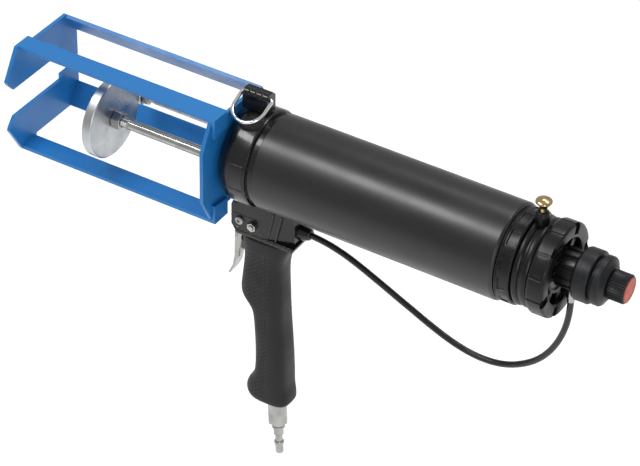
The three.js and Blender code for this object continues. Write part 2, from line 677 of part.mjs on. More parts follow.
function redCap() {
  const r = KNOB_RADIUS - 1.8;
  return turned([
    [KNOB_BACK - 0.9, 0], [KNOB_BACK - 0.9, r], [KNOB_BACK, r], [KNOB_BACK + 0.5, r - 1],
    [KNOB_BACK + 0.5, 0],
  ], 24).translate(0, 0, REGULATOR_Z);
}

// ---------------------------------------------------------------- handle

function handleHead() {
  const outline = [
    [HEAD_FRONT + 5, HEAD_BOTTOM + 40], [HEAD_FRONT, HEAD_BOTTOM + 26],
    [HEAD_FRONT, HEAD_BOTTOM + 8], [HEAD_FRONT + 5, HEAD_BOTTOM],
    [HEAD_BACK - 2, HEAD_BOTTOM + 3], [HEAD_BACK, HEAD_BOTTOM + 6],
    [HEAD_BACK, HEAD_BOTTOM + 25], [HEAD_BACK - 8, HEAD_BOTTOM + 40],
  ];
  let head = sideBlock(outline, -HEAD_HALF_WIDTH, HEAD_HALF_WIDTH);
  const taperX = (HEAD_FRONT + HEAD_BACK) / 2;
  const plan = [
    [HEAD_FRONT - 1, -HEAD_HALF_WIDTH], [taperX, -HEAD_HALF_WIDTH],
    [HEAD_BACK + 1, -HEAD_TAIL_HALF_WIDTH], [HEAD_BACK + 1, HEAD_TAIL_HALF_WIDTH],
    [taperX, HEAD_HALF_WIDTH], [HEAD_FRONT - 1, HEAD_HALF_WIDTH],
  ];
  head = head.intersect(plateAcrossZ(plan, HEAD_BOTTOM - 5, 60));
  const ringCut = rod(-20, RING_BACK + FIT, RING_RADIUS + FIT, 36);
  const barrelCut = rod(RING_BACK, 200, BARREL_RADIUS + FIT, 36);
  const halfSlot = TRIGGER_HALF_WIDTH + 1;
  const slot = box([-10, -halfSlot, HEAD_BOTTOM - 5], [PIVOT_X + 7, halfSlot, PIVOT_Z + 4.2]);
  const pinHole = alongY(rod(-30, 30, PIN_RADIUS + 0.1, 20)).translate(PIVOT_X, 0, PIVOT_Z);
  const port = rod(HEAD_BACK - 8, HEAD_BACK + 5, 2.8, 20).translate(0, 0, HOSE_START[2]);
  head = head.subtract(ringCut).subtract(barrelCut).subtract(slot).subtract(pinHole);
  for (const { x, z, radius } of HANDLE_BOLTS) {
    head = head.subtract(alongY(rod(-30, 30, radius + FIT, 20)).translate(x, 0, z));
  }
  return head.subtract(port);
}

function handleScrew() {
  const { x, z, radius } = HANDLE_BOLTS[0];
  const y = HEAD_HALF_WIDTH + FIT;
  let screw = turned([
    [-y - 2.4, 0], [-y - 2.4, 2], [-y - 1.6, 3.4], [-y, 3.9], [-y, radius],
    [y - 2, radius], [y - 2, 0],
  ], 24);
  for (const turn of [0, 90]) {
    const cross = box([-y - 3, -1.7, -0.45], [-y - 1.2, 1.7, 0.45]).rotate([turn, 0, 0]);
    screw = screw.subtract(cross);
  }
  return alongY(screw).translate(x, 0, z);
}

function handleBolt() {
  const { x, z, radius } = HANDLE_BOLTS[1];
  const y = HEAD_HALF_WIDTH + FIT;
  const bolt = rod(-y - 4.4, y, radius, 20).add(hexPrism(y, y + 2.8, 7));
  return alongY(bolt).translate(x, 0, z);
}

function handleNut() {
  const { x, z, radius } = HANDLE_BOLTS[1];
  const y = HEAD_HALF_WIDTH + FIT;
  const body = hexPrism(-y - 3.2, -y, 7).subtract(rod(-y - 4, -y + 1, radius + FIT, 20));
  return alongY(body).translate(x, 0, z);
}

// One level of the grip: a rounded rectangle of half sizes a along X and b along Y.
function gripLevel({ z, x, a, b }) {
  const points = [];
  const count = 24;
  for (let i = 0; i < count; i += 1) {
    const angle = (i * 2 * Math.PI) / count;
    const [c, s] = [Math.cos(angle), Math.sin(angle)];
    const power = 0.62;
    points.push([
      x + a * Math.sign(c) * Math.abs(c) ** power,
      b * Math.sign(s) * Math.abs(s) ** power,
      z,
    ]);
  }
  return points;
}

const GRIP_LEVELS = [
  { z: GRIP_BOTTOM, x: 37.5, a: 10, b: GRIP_HALF_WIDTH - 5 },
  { z: GRIP_BOTTOM + 5, x: 36.5, a: 15, b: GRIP_HALF_WIDTH - 2 },
  { z: GRIP_BOTTOM + 13, x: 33.8, a: 18.4, b: GRIP_HALF_WIDTH - 0.5 },
  { z: GRIP_BOTTOM + 25, x: 34, a: 18, b: GRIP_HALF_WIDTH },
  { z: GRIP_BOTTOM + 33, x: 37.2, a: 14.4, b: GRIP_HALF_WIDTH },
  { z: GRIP_BOTTOM + 59, x: 36.8, a: 13.8, b: GRIP_HALF_WIDTH - 0.6 },
  { z: GRIP_TOP - 79.7, x: 34.6, a: 13.6, b: GRIP_HALF_WIDTH - 1 },
  { z: GRIP_TOP - 68.7, x: 33, a: 14.8, b: GRIP_HALF_WIDTH - 0.8 },
  { z: GRIP_TOP - 60.7, x: 28, a: 19.4, b: GRIP_HALF_WIDTH - 0.6 },
  { z: GRIP_TOP - 48.7, x: 28, a: 19, b: GRIP_HALF_WIDTH - 0.6 },
  { z: GRIP_TOP - 25.7, x: 29, a: 17, b: GRIP_HALF_WIDTH - 1 },
  { z: GRIP_TOP - 13.7, x: 30.5, a: 18.6, b: GRIP_HALF_WIDTH - 0.6 },
  { z: GRIP_TOP - 4.7, x: 31.5, a: 21.5, b: GRIP_HALF_WIDTH },
  { z: GRIP_TOP, x: 31.5, a: 21.5, b: GRIP_HALF_WIDTH },
];

function grip() {
  const body = loft(GRIP_LEVELS.map(gripLevel));
  const halfSlot = TRIGGER_HALF_WIDTH + 1;
  const channel = box([-20, -halfSlot, PIVOT_Z - 62], [17, halfSlot, PIVOT_Z + 3]);
  const valveBore = rod(10, 44.5, VALVE_RADIUS + FIT, 20).translate(0, 0, VALVE_Z);
  const airway = rod(0, 150, AIR_BORE + 0.6, 16).rotate([0, 90, 0])
    .rotate([0, -3, 0]).translate(31.5, 0, VALVE_Z);
  const thread = alongZ(rod(-14, 30, 5.2 + FIT, 24)).rotate([0, -3, 0])
    .translate(INLET_X, 0, GRIP_BOTTOM - 1);
  const socket = thread.intersect(box([0, -20, GRIP_BOTTOM - 2], [80, 20, GRIP_BOTTOM + 11]));
  return body.subtract(channel).subtract(valveBore).subtract(airway).subtract(socket);
}

// The lever: a channel of sheet steel, open towards the grip, with a toe that kicks forward.
function trigger() {
  const front = [
    [5, PIVOT_Z + 3.2], [3, PIVOT_Z - 3], [2.4, PIVOT_Z - 17], [2.2, PIVOT_Z - 37],
    [0.4, PIVOT_Z - 47], [-3.4, PIVOT_Z - 55.6],
  ];
  const back = front.map(([x, z]) => [x + TRIGGER_SHEET, z]).reverse();
  const web = sideBlock([...front, ...back], -TRIGGER_HALF_WIDTH, TRIGGER_HALF_WIDTH);
  const cheek = [
    ...front.slice(0, 4),
    [6, PIVOT_Z - 37], [8, PIVOT_Z - 17], [13, PIVOT_Z - 3], [12, PIVOT_Z + 3.2],
  ];
  const inside = TRIGGER_HALF_WIDTH - TRIGGER_SHEET;
  let lever = web.add(sideBlock(cheek, -TRIGGER_HALF_WIDTH, -inside));
  lever = lever.add(sideBlock(cheek, inside, TRIGGER_HALF_WIDTH));
  const pinHole = alongY(rod(-30, 30, PIN_RADIUS + 0.15, 20)).translate(PIVOT_X, 0, PIVOT_Z);
  return lever.subtract(pinHole);
}

function triggerPin() {
  return alongY(rod(-HEAD_HALF_WIDTH + 0.5, HEAD_HALF_WIDTH - 0.5, PIN_RADIUS, 20))
    .translate(PIVOT_X, 0, PIVOT_Z);
}

function valveBody() {
  const seat = 27;
  return turned([
    [18.5, VALVE_STEM_RADIUS + RUN], [18.5, VALVE_RADIUS], [44, VALVE_RADIUS], [44, 4.6],
    [seat, 4.6], [seat, VALVE_STEM_RADIUS + RUN], [18.5, VALVE_STEM_RADIUS + RUN],
  ], 20).translate(0, 0, VALVE_Z);
}

function valveStem() {
  return turned([
    [4.4, 0], [4.4, VALVE_STEM_RADIUS - 0.7], [5.1, VALVE_STEM_RADIUS],
    [27.3, VALVE_STEM_RADIUS], [27.3, 4.3], [29.5, 4.3], [29.5, 0],
  ], 16).translate(0, 0, VALVE_Z);
}

function valveSpring() {
  return spring(29.8, 44, 3.3, 0.5, 4).translate(0, 0, VALVE_Z);
}

function inletAdapter() {
  const hex = hexPrism(ADAPTER_GAP, ADAPTER_HEX, ADAPTER_FLATS);
  const bevel = turned([
    [ADAPTER_GAP, 0], [ADAPTER_GAP, ADAPTER_FLATS / 2], [ADAPTER_GAP + 1.5, ADAPTER_FLATS],
    [ADAPTER_HEX - 1.5, ADAPTER_FLATS],
    [ADAPTER_HEX, ADAPTER_FLATS / 2], [ADAPTER_HEX, 0],
  ], 24);
  const stub = rod(-9, 1, 5.2, 24);
  const nose = turned([
    [ADAPTER_HEX - 1, 0], [ADAPTER_HEX - 1, 6.4], [ADAPTER_HEX + 1, 6.4],
    [ADAPTER_HEX + 3.4, 5.2], [ADAPTER_HEX + 3.4, 0],
  ], 24);
  return hex.intersect(bevel).add(stub).add(nose).subtract(rod(-10, ADAPTER_HEX + 5, AIR_BORE, 20));
}

function inletNipple() {
  const a = ADAPTER_HEX + 3.7;
  return turned([
    [a, AIR_BORE], [a, 5.4], [a + 2.6, 5.4], [a + 3.2, 4.1], [a + 9.5, 4.1], [a + 10.5, 2.95],
    [a + 16, 2.95], [a + 17.2, 4], [a + 20, 4], [a + 21.6, 3.3], [a + 28, 3.3],
    [a + 28.8, AIR_BORE + 0.3], [a + 28.8, AIR_BORE], [a, AIR_BORE],
  ], 18);
}

// ---------------------------------------------------------------- hose

function hose() {
  const curve = new THREE.CatmullRomCurve3(HOSE_ROUTE.map((point) => new THREE.Vector3(...point)));
  const section = new THREE.Shape().absarc(0, 0, HOSE_RADIUS, 0, Math.PI * 2);
  const options = { steps: 44, extrudePath: curve, curveSegments: 4, bevelEnabled: false };
  return solid(new THREE.ExtrudeGeometry(section, options));
}

function handleHoseFitting() {
  const a = HEAD_BACK - 6;
  return turned([
    [a, 0], [a, 2.5], [HEAD_BACK + 0.3, 2.5], [HEAD_BACK + 0.3, 4], [HEAD_BACK + 3, 4],
    [HEAD_BACK + 3.4, 3], [HOSE_START[0] - FIT, 3], [HOSE_START[0] - FIT, 0],
  ], 20).translate(0, 0, HOSE_START[2]);
}

function regulatorHoseFitting() {
  const top = REGULATOR_Z - SPLINE_RADIUS - FIT;
  return alongZ(turned([
    [HOSE_END[2] + FIT, 0], [HOSE_END[2] + FIT, 3], [HOSE_END[2] + 4, 3], [HOSE_END[2] + 4.4, 3.9],
    [top, 3.9], [top, 1.9], [top + 4, 1.9], [top + 4, 0],
  ], 20)).translate(HOSE_END[0], 0, 0);
}

// ---------------------------------------------------------------- hang ring

function hangLug() {
  const outline = [
    [LUG_NEAR, RING_RADIUS + 0.4], [LUG_FAR, RING_RADIUS + 0.4], [LUG_FAR, LUG_TOP - 3],
    [LUG_FAR - 3, LUG_TOP], [LUG_NEAR + 3, LUG_TOP], [LUG_NEAR, LUG_TOP - 3],
  ];
  const block = plateAcrossX(outline, LUG_FRONT, LUG_LENGTH);
  const bore = rod(LUG_FRONT - 1, LUG_FRONT + LUG_LENGTH + 1, HANG_RING_WIRE + RUN, 20);
  return block.subtract(bore.translate(0, HANG_BAR_Y, HANG_BAR_Z));
}

// A closed D of round wire: the straight bar lies in the lug's bore.
function hangRing() {
  const centre = LUG_FRONT + LUG_LENGTH / 2;
  const corner = HANG_RING_HALF - LUG_LENGTH / 2 - 0.1;
  const path = new THREE.Path();
  path.moveTo(-HANG_RING_HALF + corner, 0);
  path.lineTo(HANG_RING_HALF - corner, 0);
  path.absarc(HANG_RING_HALF - corner, -corner, corner, Math.PI / 2, 0, true);
  path.lineTo(HANG_RING_HALF, HANG_RING_HALF - HANG_RING_DEPTH);
  path.absarc(0, HANG_RING_HALF - HANG_RING_DEPTH, HANG_RING_HALF, 0, -Math.PI, true);
  path.lineTo(-HANG_RING_HALF, -corner);
  path.absarc(-HANG_RING_HALF + corner, -corner, corner, Math.PI, Math.PI / 2, true);
  const points = path.getSpacedPoints(40).slice(0, 40);
  const sides = 6;
  const positions = [];
  const triangles = [];
  points.forEach((point, i) => {
    const next = points[(i + 1) % points.length];
    const last = points[(i + points.length - 1) % points.length];
    const along = next.clone().sub(last).normalize();
    for (let j = 0; j < sides; j += 1) {
      const angle = (j * 2 * Math.PI) / sides;
      const out = HANG_RING_WIRE * Math.cos(angle);
      positions.push(point.x + along.y * out, point.y - along.x * out,
        HANG_RING_WIRE * Math.sin(angle));
      const [a, b] = [i * sides + j, i * sides + ((j + 1) % sides)];
      const wrap = points.length * sides;
      const [c, d] = [(a + sides) % wrap, (b + sides) % wrap];
      triangles.push(a, c, d, a, d, b);
    }
  });
  const geometry = new THREE.BufferGeometry();
  geometry.setAttribute('position', new THREE.Float32BufferAttribute(positions, 3));
  geometry.setIndex(triangles);
  geometry.rotateX(HANG_RING_ANGLE).translate(centre, HANG_BAR_Y, HANG_BAR_Z);
  return solid(geometry);
}

// ---------------------------------------------------------------- assembly

const [mainRod, smallRod] = RODS;

add('cradle', cradle(), bluePaint);
add('back_plate', backPlate(), bluePaint);
add('front_housing', frontHousing(), glossBlack);
add('main_rod_seal', rodSeal(mainRod), rubber);
add('small_rod_seal', rodSeal(smallRod), rubber);
add('hang_lug', hangLug(), glossBlack);
add('hang_ring', hangRing(), chromeSteel);
add('barrel_tube', barrelTube(), satinBlack);

add('main_disc', pressingDisc(mainRod, MAIN_DISC_RADIUS), machinedAluminium);
add('main_rod', pistonRod(mainRod, DISC_BACK + MAIN_NUT_HEIGHT + 8), zincSteel);
add('main_disc_nut', nut(mainRod, DISC_BACK + FIT, MAIN_NUT_HEIGHT, MAIN_NUT_FLATS), zincSteel);
add('main_piston_nut', nut(mainRod, PISTON_BACK + FIT, MAIN_NUT_HEIGHT - 1.5, MAIN_NUT_FLATS),
  zincSteel);
add('small_disc', pressingDisc(smallRod, SMALL_DISC_RADIUS), machinedAluminium);
add('small_rod', pistonRod(smallRod, DISC_BACK + SMALL_NUT_HEIGHT + 6), zincSteel);
add('small_disc_nut', nut(smallRod, DISC_BACK + FIT, SMALL_NUT_HEIGHT, SMALL_NUT_FLATS), zincSteel);
add('small_piston_nut', nut(smallRod, PISTON_BACK + FIT, SMALL_NUT_HEIGHT, SMALL_NUT_FLATS),
  zincSteel);
add('piston', piston(), machinedAluminium);
add('piston_seal', pistonSeal(), rubber);

add('window_ring', windowRing(), blackPlastic);
add('bead_ring', beadRing(), blackPlastic);
add('lock_ring', lockRing(), blackPlastic);
add('end_cap', endCap(), blackPlastic);
add('end_cap_seal', endCapSeal(), rubber);
add('bleed_collar', bleedCollar(), blackPlastic);
add('bleed_button', bleedButton(), brass);
add('bleed_spring', bleedSpring(), springSteel);

add('regulator_body', regulatorBody(), blackPlastic);
add('regulator_collar', regulatorCollar(), blackPlastic);
add('gauge_ring', gaugeRing(), blackPlastic);
add('regulator_spindle', regulatorSpindle(), brass);
add('regulator_spring', spring(SPLINE_FRONT + 0.3, SPLINE_FRONT + 19.7, 5.6, 0.8, 5)
  .translate(0, 0, REGULATOR_Z), springSteel);
add('adjust_knob', adjustKnob(), blackPlastic);
add('red_cap', redCap(), redPlastic);

add('handle_head', handleHead(), glossBlack);
add('handle_screw', handleScrew(), zincSteel);
add('handle_bolt', handleBolt(), zincSteel);
add('handle_nut', handleNut(), zincSteel);
add('grip', grip(), gripPlastic);
add('trigger', trigger(), zincSteel);
add('trigger_pin', triggerPin(), zincSteel);
add('valve_body', valveBody(), brass);
add('valve_stem', valveStem(), zincSteel);
add('valve_spring', valveSpring(), springSteel);

// The inlet fittings are built along +X and hung from the grip's foot.
const inlet = new THREE.Group();
inlet.position.set(INLET_X, 0, GRIP_BOTTOM);
inlet.rotation.y = Math.PI / 2 + INLET_LEAN;
gun.add(inlet);
add('inlet_adapter', inletAdapter(), zincSteel, inlet);
add('inlet_nipple', inletNipple(), zincSteel, inlet);

add('air_hose', hose(), rubber);
add('handle_hose_fitting', handleHoseFitting(), brass);
add('regulator_hose_fitting', regulatorHoseFitting(), zincSteel);

export default gun;
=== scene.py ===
# %% [markdown]
# # A pneumatic caulking gun
# The gun has a blue sheet-steel cradle for two cartridges, a black air cylinder, a pistol
# grip with a lever, an air hose and a regulator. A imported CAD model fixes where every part
# is and how it moves. This lesson builds the surfaces that are seen, in metres, on that frame.

# %% Load the frame
import json
import math
import bmesh
import bpy
from mathutils import Matrix, Vector


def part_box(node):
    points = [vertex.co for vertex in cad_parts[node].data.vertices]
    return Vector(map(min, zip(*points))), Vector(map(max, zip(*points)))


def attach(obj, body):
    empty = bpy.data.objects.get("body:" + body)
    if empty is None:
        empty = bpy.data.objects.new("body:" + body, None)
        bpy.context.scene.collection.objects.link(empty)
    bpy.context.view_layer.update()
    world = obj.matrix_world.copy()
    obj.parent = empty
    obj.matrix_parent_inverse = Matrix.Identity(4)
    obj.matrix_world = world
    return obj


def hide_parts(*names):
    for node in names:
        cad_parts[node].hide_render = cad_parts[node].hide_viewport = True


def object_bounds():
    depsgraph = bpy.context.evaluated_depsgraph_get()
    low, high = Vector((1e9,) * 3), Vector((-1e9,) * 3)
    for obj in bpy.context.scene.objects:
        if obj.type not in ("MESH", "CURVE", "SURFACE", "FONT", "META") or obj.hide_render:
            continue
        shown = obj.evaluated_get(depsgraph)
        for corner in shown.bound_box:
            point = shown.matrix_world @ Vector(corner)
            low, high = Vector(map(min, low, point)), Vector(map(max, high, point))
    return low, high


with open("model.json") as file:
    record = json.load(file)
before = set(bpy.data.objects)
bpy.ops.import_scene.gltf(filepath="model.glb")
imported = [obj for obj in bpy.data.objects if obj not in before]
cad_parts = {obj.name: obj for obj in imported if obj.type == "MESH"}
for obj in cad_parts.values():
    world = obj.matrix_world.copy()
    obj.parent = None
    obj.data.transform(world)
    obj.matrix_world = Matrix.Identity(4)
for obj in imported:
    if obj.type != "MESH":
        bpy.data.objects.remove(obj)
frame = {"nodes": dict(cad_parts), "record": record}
cad_box = [list(corner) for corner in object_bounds()]

# %% [markdown]
# ## Units and places
# Sizes are written in millimetres, as on a drawing, and MM turns them into Blender's metres.
# A place that the frame already knows is asked for, never typed again: `reach` gives where a
# node starts and ends along one axis, and `radius_of` how far a turned node reaches from its axis.

# %% Units and places
MM = 0.001


def reach(node, axis):
    low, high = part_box(node)
    return low[axis] / MM, high[axis] / MM


def radius_of(node):
    low, high = reach(node, 1)
    return (high - low) / 2


def centre_of(node, axis):
    low, high = reach(node, axis)
    return (low + high) / 2


BARREL_RADIUS = radius_of("barrel_tube")
BARREL_FRONT, BARREL_BACK = reach("barrel_tube", 0)
REGULATOR_Z = centre_of("regulator_collar", 2)
print("barrel:", round(2 * BARREL_RADIUS, 1), "mm across,",
      round(BARREL_BACK - BARREL_FRONT, 1), "mm long")

# %% [markdown]
# ## The camera
# The gun is seen from its near side, from above and a little from the back, through a long
# lens that keeps its lines almost parallel. The camera's own axes are worked out from an
# azimuth, an elevation and a small roll, and become the columns of its matrix.

# %% Camera
CAMERA_PLACE = Vector((949.6, -1454.1, 1233.8)) * MM
CAMERA_AZIMUTH = math.radians(31.0)
CAMERA_ELEVATION = math.radians(37.15)
CAMERA_ROLL = math.radians(1.33)
CAMERA_LENS = 157.5


def camera_axes(azimuth, elevation, roll):
    right = Vector((math.cos(azimuth), math.sin(azimuth), 0))
    back = Vector((
        math.sin(azimuth) * math.cos(elevation),
        -math.cos(azimuth) * math.cos(elevation),
        math.sin(elevation)))
    up = back.cross(right)
    turned_right = math.cos(roll) * right + math.sin(roll) * up
    turned_up = -math.sin(roll) * right + math.cos(roll) * up
    return turned_right, turned_up, back


def add_camera():
    camera = bpy.data.objects.new("camera", bpy.data.cameras.new("camera"))
    axes = Matrix(camera_axes(CAMERA_AZIMUTH, CAMERA_ELEVATION, CAMERA_ROLL)).transposed()
    camera.matrix_world = Matrix.Translation(CAMERA_PLACE) @ axes.to_4x4()
    camera.data.lens = CAMERA_LENS
    camera.data.sensor_width = 36
    camera.data.clip_end = 20
    bpy.context.collection.objects.link(camera)
    bpy.context.scene.camera = camera


add_camera()

# %% [markdown]
# ## Floor and light
# Product pictures of black tools need large soft lamps: a black surface shows only what it
# reflects, so each lamp becomes a long pale streak on the cylinder. The floor is plain, pale
# and well below the gun, which keeps its shadow soft, and glows a little so that it stays
# white while the lamps are low enough for the paint to look black.

# %% Floor and light
FLOOR_DROP = 0.34  # metres below the gun's lowest point
FLOOR_SIZE = 6
FLOOR_GLOW = 0.22
WORLD_STRENGTH = 0.5


def plain_material(name, colour, roughness):
    material = bpy.data.materials.new(name)
    material.use_nodes = True
    shader = material.node_tree.nodes["Principled BSDF"]
    shader.inputs["Base Color"].default_value = (*colour, 1)
    shader.inputs["Roughness"].default_value = roughness
    return material


def glow(material, strength):
    shader = material.node_tree.nodes["Principled BSDF"]
    shader.inputs["Emission Color"].default_value = (1, 1, 1, 1)
    shader.inputs["Emission Strength"].default_value = strength
    return material


def add_floor():
    bm = bmesh.new()
    bmesh.ops.create_grid(bm, x_segments=1, y_segments=1, size=FLOOR_SIZE)
    bmesh.ops.translate(bm, verts=bm.verts, vec=(0, 0, cad_box[0][2] - FLOOR_DROP))
    mesh = bpy.data.meshes.new("floor")
    bm.to_mesh(mesh)
    bm.free()
    floor = bpy.data.objects.new("floor", mesh)
    pale = plain_material("pale_floor", (0.95, 0.95, 0.95), 0.9)
    mesh.materials.append(glow(pale, FLOOR_GLOW))
    bpy.context.collection.objects.link(floor)


def add_lamp(name, place, target, size, power):
    lamp = bpy.data.objects.new(name, bpy.data.lights.new(name, "AREA"))
    lamp.data.shape = "RECTANGLE"
    lamp.data.size, lamp.data.size_y = size
    lamp.data.energy = power
    lamp.location = place
    direction = Vector(target) - Vector(place)
    lamp.rotation_euler = direction.to_track_quat("-Z", "Y").to_euler()
    bpy.context.collection.objects.link(lamp)


def add_world(strength):
    world = bpy.data.worlds.new("studio")
    world.use_nodes = True
    background = world.node_tree.nodes["Background"]
    background.inputs["Color"].default_value = (1, 1, 1, 1)
    background.inputs["Strength"].default_value = strength
    bpy.context.scene.world = world


bpy.context.scene.view_settings.view_transform = "Standard"
add_floor()
add_world(WORLD_STRENGTH)
add_lamp("key", (-0.7, -0.9, 1.9), (0.05, 0, 0), (1.2, 0.45), 24)
add_lamp("side", (1.5, -1.6, 0.5), (0.2, 0, -0.05), (0.4, 1.0), 9)
add_lamp("top", (0.3, 0.9, 1.8), (0.1, 0, 0), (1.6, 0.3), 15)

# %% [markdown]
# ## Building materials from nodes
# Every finish starts as one Principled shader. A few helpers add what real surfaces have:
# blotches of slightly different colour, roughness that wanders, and small bumps. All of them
# read Object coordinates, which are metres on the gun itself, so a grain keeps its true size.

# %% Material helpers
class Finish:
    """A material with its shader and its Object coordinates, ready for more nodes."""

    def __init__(self, name, colour, roughness, metallic=0.0):
        self.material = bpy.data.materials.new(name)
        self.material.use_nodes = True
        self.nodes = self.material.node_tree.nodes
        self.links = self.material.node_tree.links
        self.shader = self.nodes["Principled BSDF"]
        self.shader.inputs["Base Color"].default_value = (*colour, 1)
        self.shader.inputs["Roughness"].default_value = roughness
        self.shader.inputs["Metallic"].default_value = metallic
        self.place = self.nodes.new("ShaderNodeTexCoord").outputs["Object"]
        self.colour = None
        self.normal = None

    def shine(self, specular, coat=0.0, coat_roughness=0.1):
        self.shader.inputs["Specular IOR Level"].default_value = specular
        self.shader.inputs["Coat Weight"].default_value = coat
        self.shader.inputs["Coat Roughness"].default_value = coat_roughness

    def noise(self, scale, detail=3.0, stretch=(1, 1, 1)):
        mapping = self.nodes.new("ShaderNodeMapping")
        mapping.inputs["Scale"].default_value = stretch
        self.links.new(self.place, mapping.inputs["Vector"])
        texture = self.nodes.new("ShaderNodeTexNoise")
        texture.inputs["Scale"].default_value = scale
        texture.inputs["Detail"].default_value = detail
        self.links.new(mapping.outputs["Vector"], texture.inputs["Vector"])
        return texture.outputs["Fac"]

    def limits(self, value, low, high, to_low=0.0, to_high=1.0):
        node = self.nodes.new("ShaderNodeMapRange")
        node.inputs["From Min"].default_value = low
        node.inputs["From Max"].default_value = high
        node.inputs["To Min"].default_value = to_low
        node.inputs["To Max"].default_value = to_high
        self.links.new(value, node.inputs["Value"])
        return node.outputs["Result"]

    def math(self, operation, first, second):
        node = self.nodes.new("ShaderNodeMath")
        node.operation = operation
        for socket, value in zip(node.inputs, (first, second)):
            if isinstance(value, (int, float)):
                socket.default_value = value
            else:
                self.links.new(value, socket)
        return node.outputs["Value"]

    def tint(self, amount, colour):
        """Mixes another colour over the base colour, by an amount from 0 to 1."""
        mix = self.nodes.new("ShaderNodeMix")
        mix.data_type = "RGBA"
        self.links.new(amount, mix.inputs["Factor"])
        if self.colour is None:
            mix.inputs[6].default_value = self.shader.inputs["Base Color"].default_value
        else:
            self.links.new(self.colour, mix.inputs[6])
        mix.inputs[7].default_value = (*colour, 1)
        self.colour = mix.outputs[2]
        self.links.new(self.colour, self.shader.inputs["Base Color"])

    def roughen(self, value, low, high):
        self.links.new(self.limits(value, 0.3, 0.7, low, high), self.shader.inputs["Roughness"])

    def bump(self, height, strength, depth):
        node = self.nodes.new("ShaderNodeBump")
        node.inputs["Strength"].default_value = strength
        node.inputs["Distance"].default_value = depth * MM
        self.links.new(height, node.inputs["Height"])
        if self.normal is not None:
            self.links.new(self.normal, node.inputs["Normal"])
        self.normal = node.outputs["Normal"]
        self.links.new(self.normal, self.shader.inputs["Normal"])

    def worn_and_highlit_edges(self):
        """Edge wear, and in the blue paint also a painted highlight: the pieces store it on their
        rounded edges as 'rub'.
        """
        node = self.nodes.new("ShaderNodeAttribute")
        node.attribute_name = "rub"
        return node.outputs["Fac"]


# %% [markdown]
# ## Blue powder coat
# The cradle is sprayed with powder and baked. The coat is smooth but slightly wavy, like
# orange peel, and along the bent edges it is thin and rubbed pale. The paler edges are also a
# painted highlight, standing in for the light that the edges catch.

# %% Blue powder coat
def blue_powder():
    finish = Finish("blue_powder", (0.014, 0.165, 0.46), 0.36)
    finish.shine(0.3, 0.15, 0.2)
    finish.tint(finish.limits(finish.noise(18, 2), 0.35, 0.7, 0, 0.35), (0.011, 0.135, 0.39))
    # Paler blue on the rounded edges: partly rubbed wear, partly a painted highlight where the
    # edges catch light.
    edge_wear_and_highlight = finish.math("MULTIPLY", finish.worn_and_highlit_edges(), finish.limits(finish.noise(160, 4), 0.35, 0.62))
    finish.tint(finish.math("MULTIPLY", edge_wear_and_highlight, 0.75), (0.14, 0.38, 0.70))
    finish.roughen(finish.noise(55, 3), 0.30, 0.44)
    finish.bump(finish.noise(900, 2), 0.22, 0.15)
    return finish.material


# %% [markdown]
# ## Black paints
# The castings carry a thick glossy paint, the cylinder tube a thin satin coating. Both are
# nearly as dark as can be, so the roughness and the faint ripple decide what they look like.

# %% Black paints
def gloss_black():
    finish = Finish("gloss_black", (0.004, 0.004, 0.0045), 0.24)
    finish.shine(0.3, 0.3, 0.08)
    finish.roughen(finish.noise(60, 3), 0.18, 0.34)
    edge_wear_and_highlight = finish.math("MULTIPLY", finish.worn_and_highlit_edges(), finish.limits(finish.noise(240, 4), 0.55, 0.75))
    finish.tint(edge_wear_and_highlight, (0.09, 0.09, 0.09))
    finish.bump(finish.noise(420, 3), 0.18, 0.25)
    return finish.material


def satin_black():
    finish = Finish("satin_black", (0.005, 0.005, 0.0055), 0.36)
    finish.shine(0.5, 0.1, 0.2)
    finish.tint(finish.limits(finish.noise(9, 2), 0.4, 0.65, 0, 0.5), (0.008, 0.008, 0.008))
    finish.roughen(finish.noise(30, 4), 0.32, 0.42)
    finish.bump(finish.noise(2600, 2), 0.12, 0.06)
    return finish.material


# %% [markdown]
# ## Moulded plastics
# The rear rings and the regulator are moulded in a harder, glossier plastic than the grip.
# Both keep the fine texture of their moulds, and the corners that hands touch turn greyer.

# %% Moulded plastics
def black_plastic():
    finish = Finish("black_plastic", (0.004, 0.004, 0.0045), 0.3)
    finish.shine(0.3)
    finish.tint(finish.limits(finish.noise(26, 3), 0.45, 0.7, 0, 0.6), (0.007, 0.007, 0.0075))
    edge_wear_and_highlight = finish.math("MULTIPLY", finish.worn_and_highlit_edges(), finish.limits(finish.noise(300, 4), 0.5, 0.7))
    finish.tint(edge_wear_and_highlight, (0.05, 0.05, 0.05))
    finish.roughen(finish.noise(70, 3), 0.24, 0.4)
    finish.bump(finish.noise(1500, 2), 0.25, 0.08)
    return finish.material


def knob_plastic():
    finish = Finish("knob_plastic", (0.007, 0.0075, 0.009), 0.42)
    finish.shine(0.3)
    finish.tint(finish.limits(finish.noise(90, 3), 0.45, 0.7), (0.012, 0.0125, 0.0145))
    finish.roughen(finish.noise(120, 3), 0.36, 0.5)
    finish.bump(finish.noise(1800, 2), 0.3, 0.08)
    return finish.material


# %% [markdown]
# ## The grip's plastic
# The side of the grip has a panel of small pips in offset rows, moulded in so that a wet
# glove does not slip. A wave along X times a wave along Z is high in every second cell, which
# gives the offset rows. The panel and a smooth strip in it are ramps in X and Z.

# %% Grip plastic
PANEL_BOTTOM, PANEL_TOP = -224, -84  # heights of the pip panel, in millimetres
PANEL_FRONT, PANEL_BACK = 13, 37
PIP_PITCH = 2.5
STRIP_X, STRIP_Z = (25.5, 30), (-204, -146)  # the smooth strip inside the panel


def step_between(finish, value, low, high, ramp):
    rise = finish.limits(value, (low - ramp) * MM, low * MM)
    fall = finish.limits(value, high * MM, (high + ramp) * MM, 1, 0)
    return finish.math("MULTIPLY", rise, fall)


def rectangle(finish, axes, x_range, z_range):
    return finish.math(
        "MULTIPLY", step_between(finish, axes.outputs["X"], *x_range, 0.8),
        step_between(finish, axes.outputs["Z"], *z_range, 0.8))


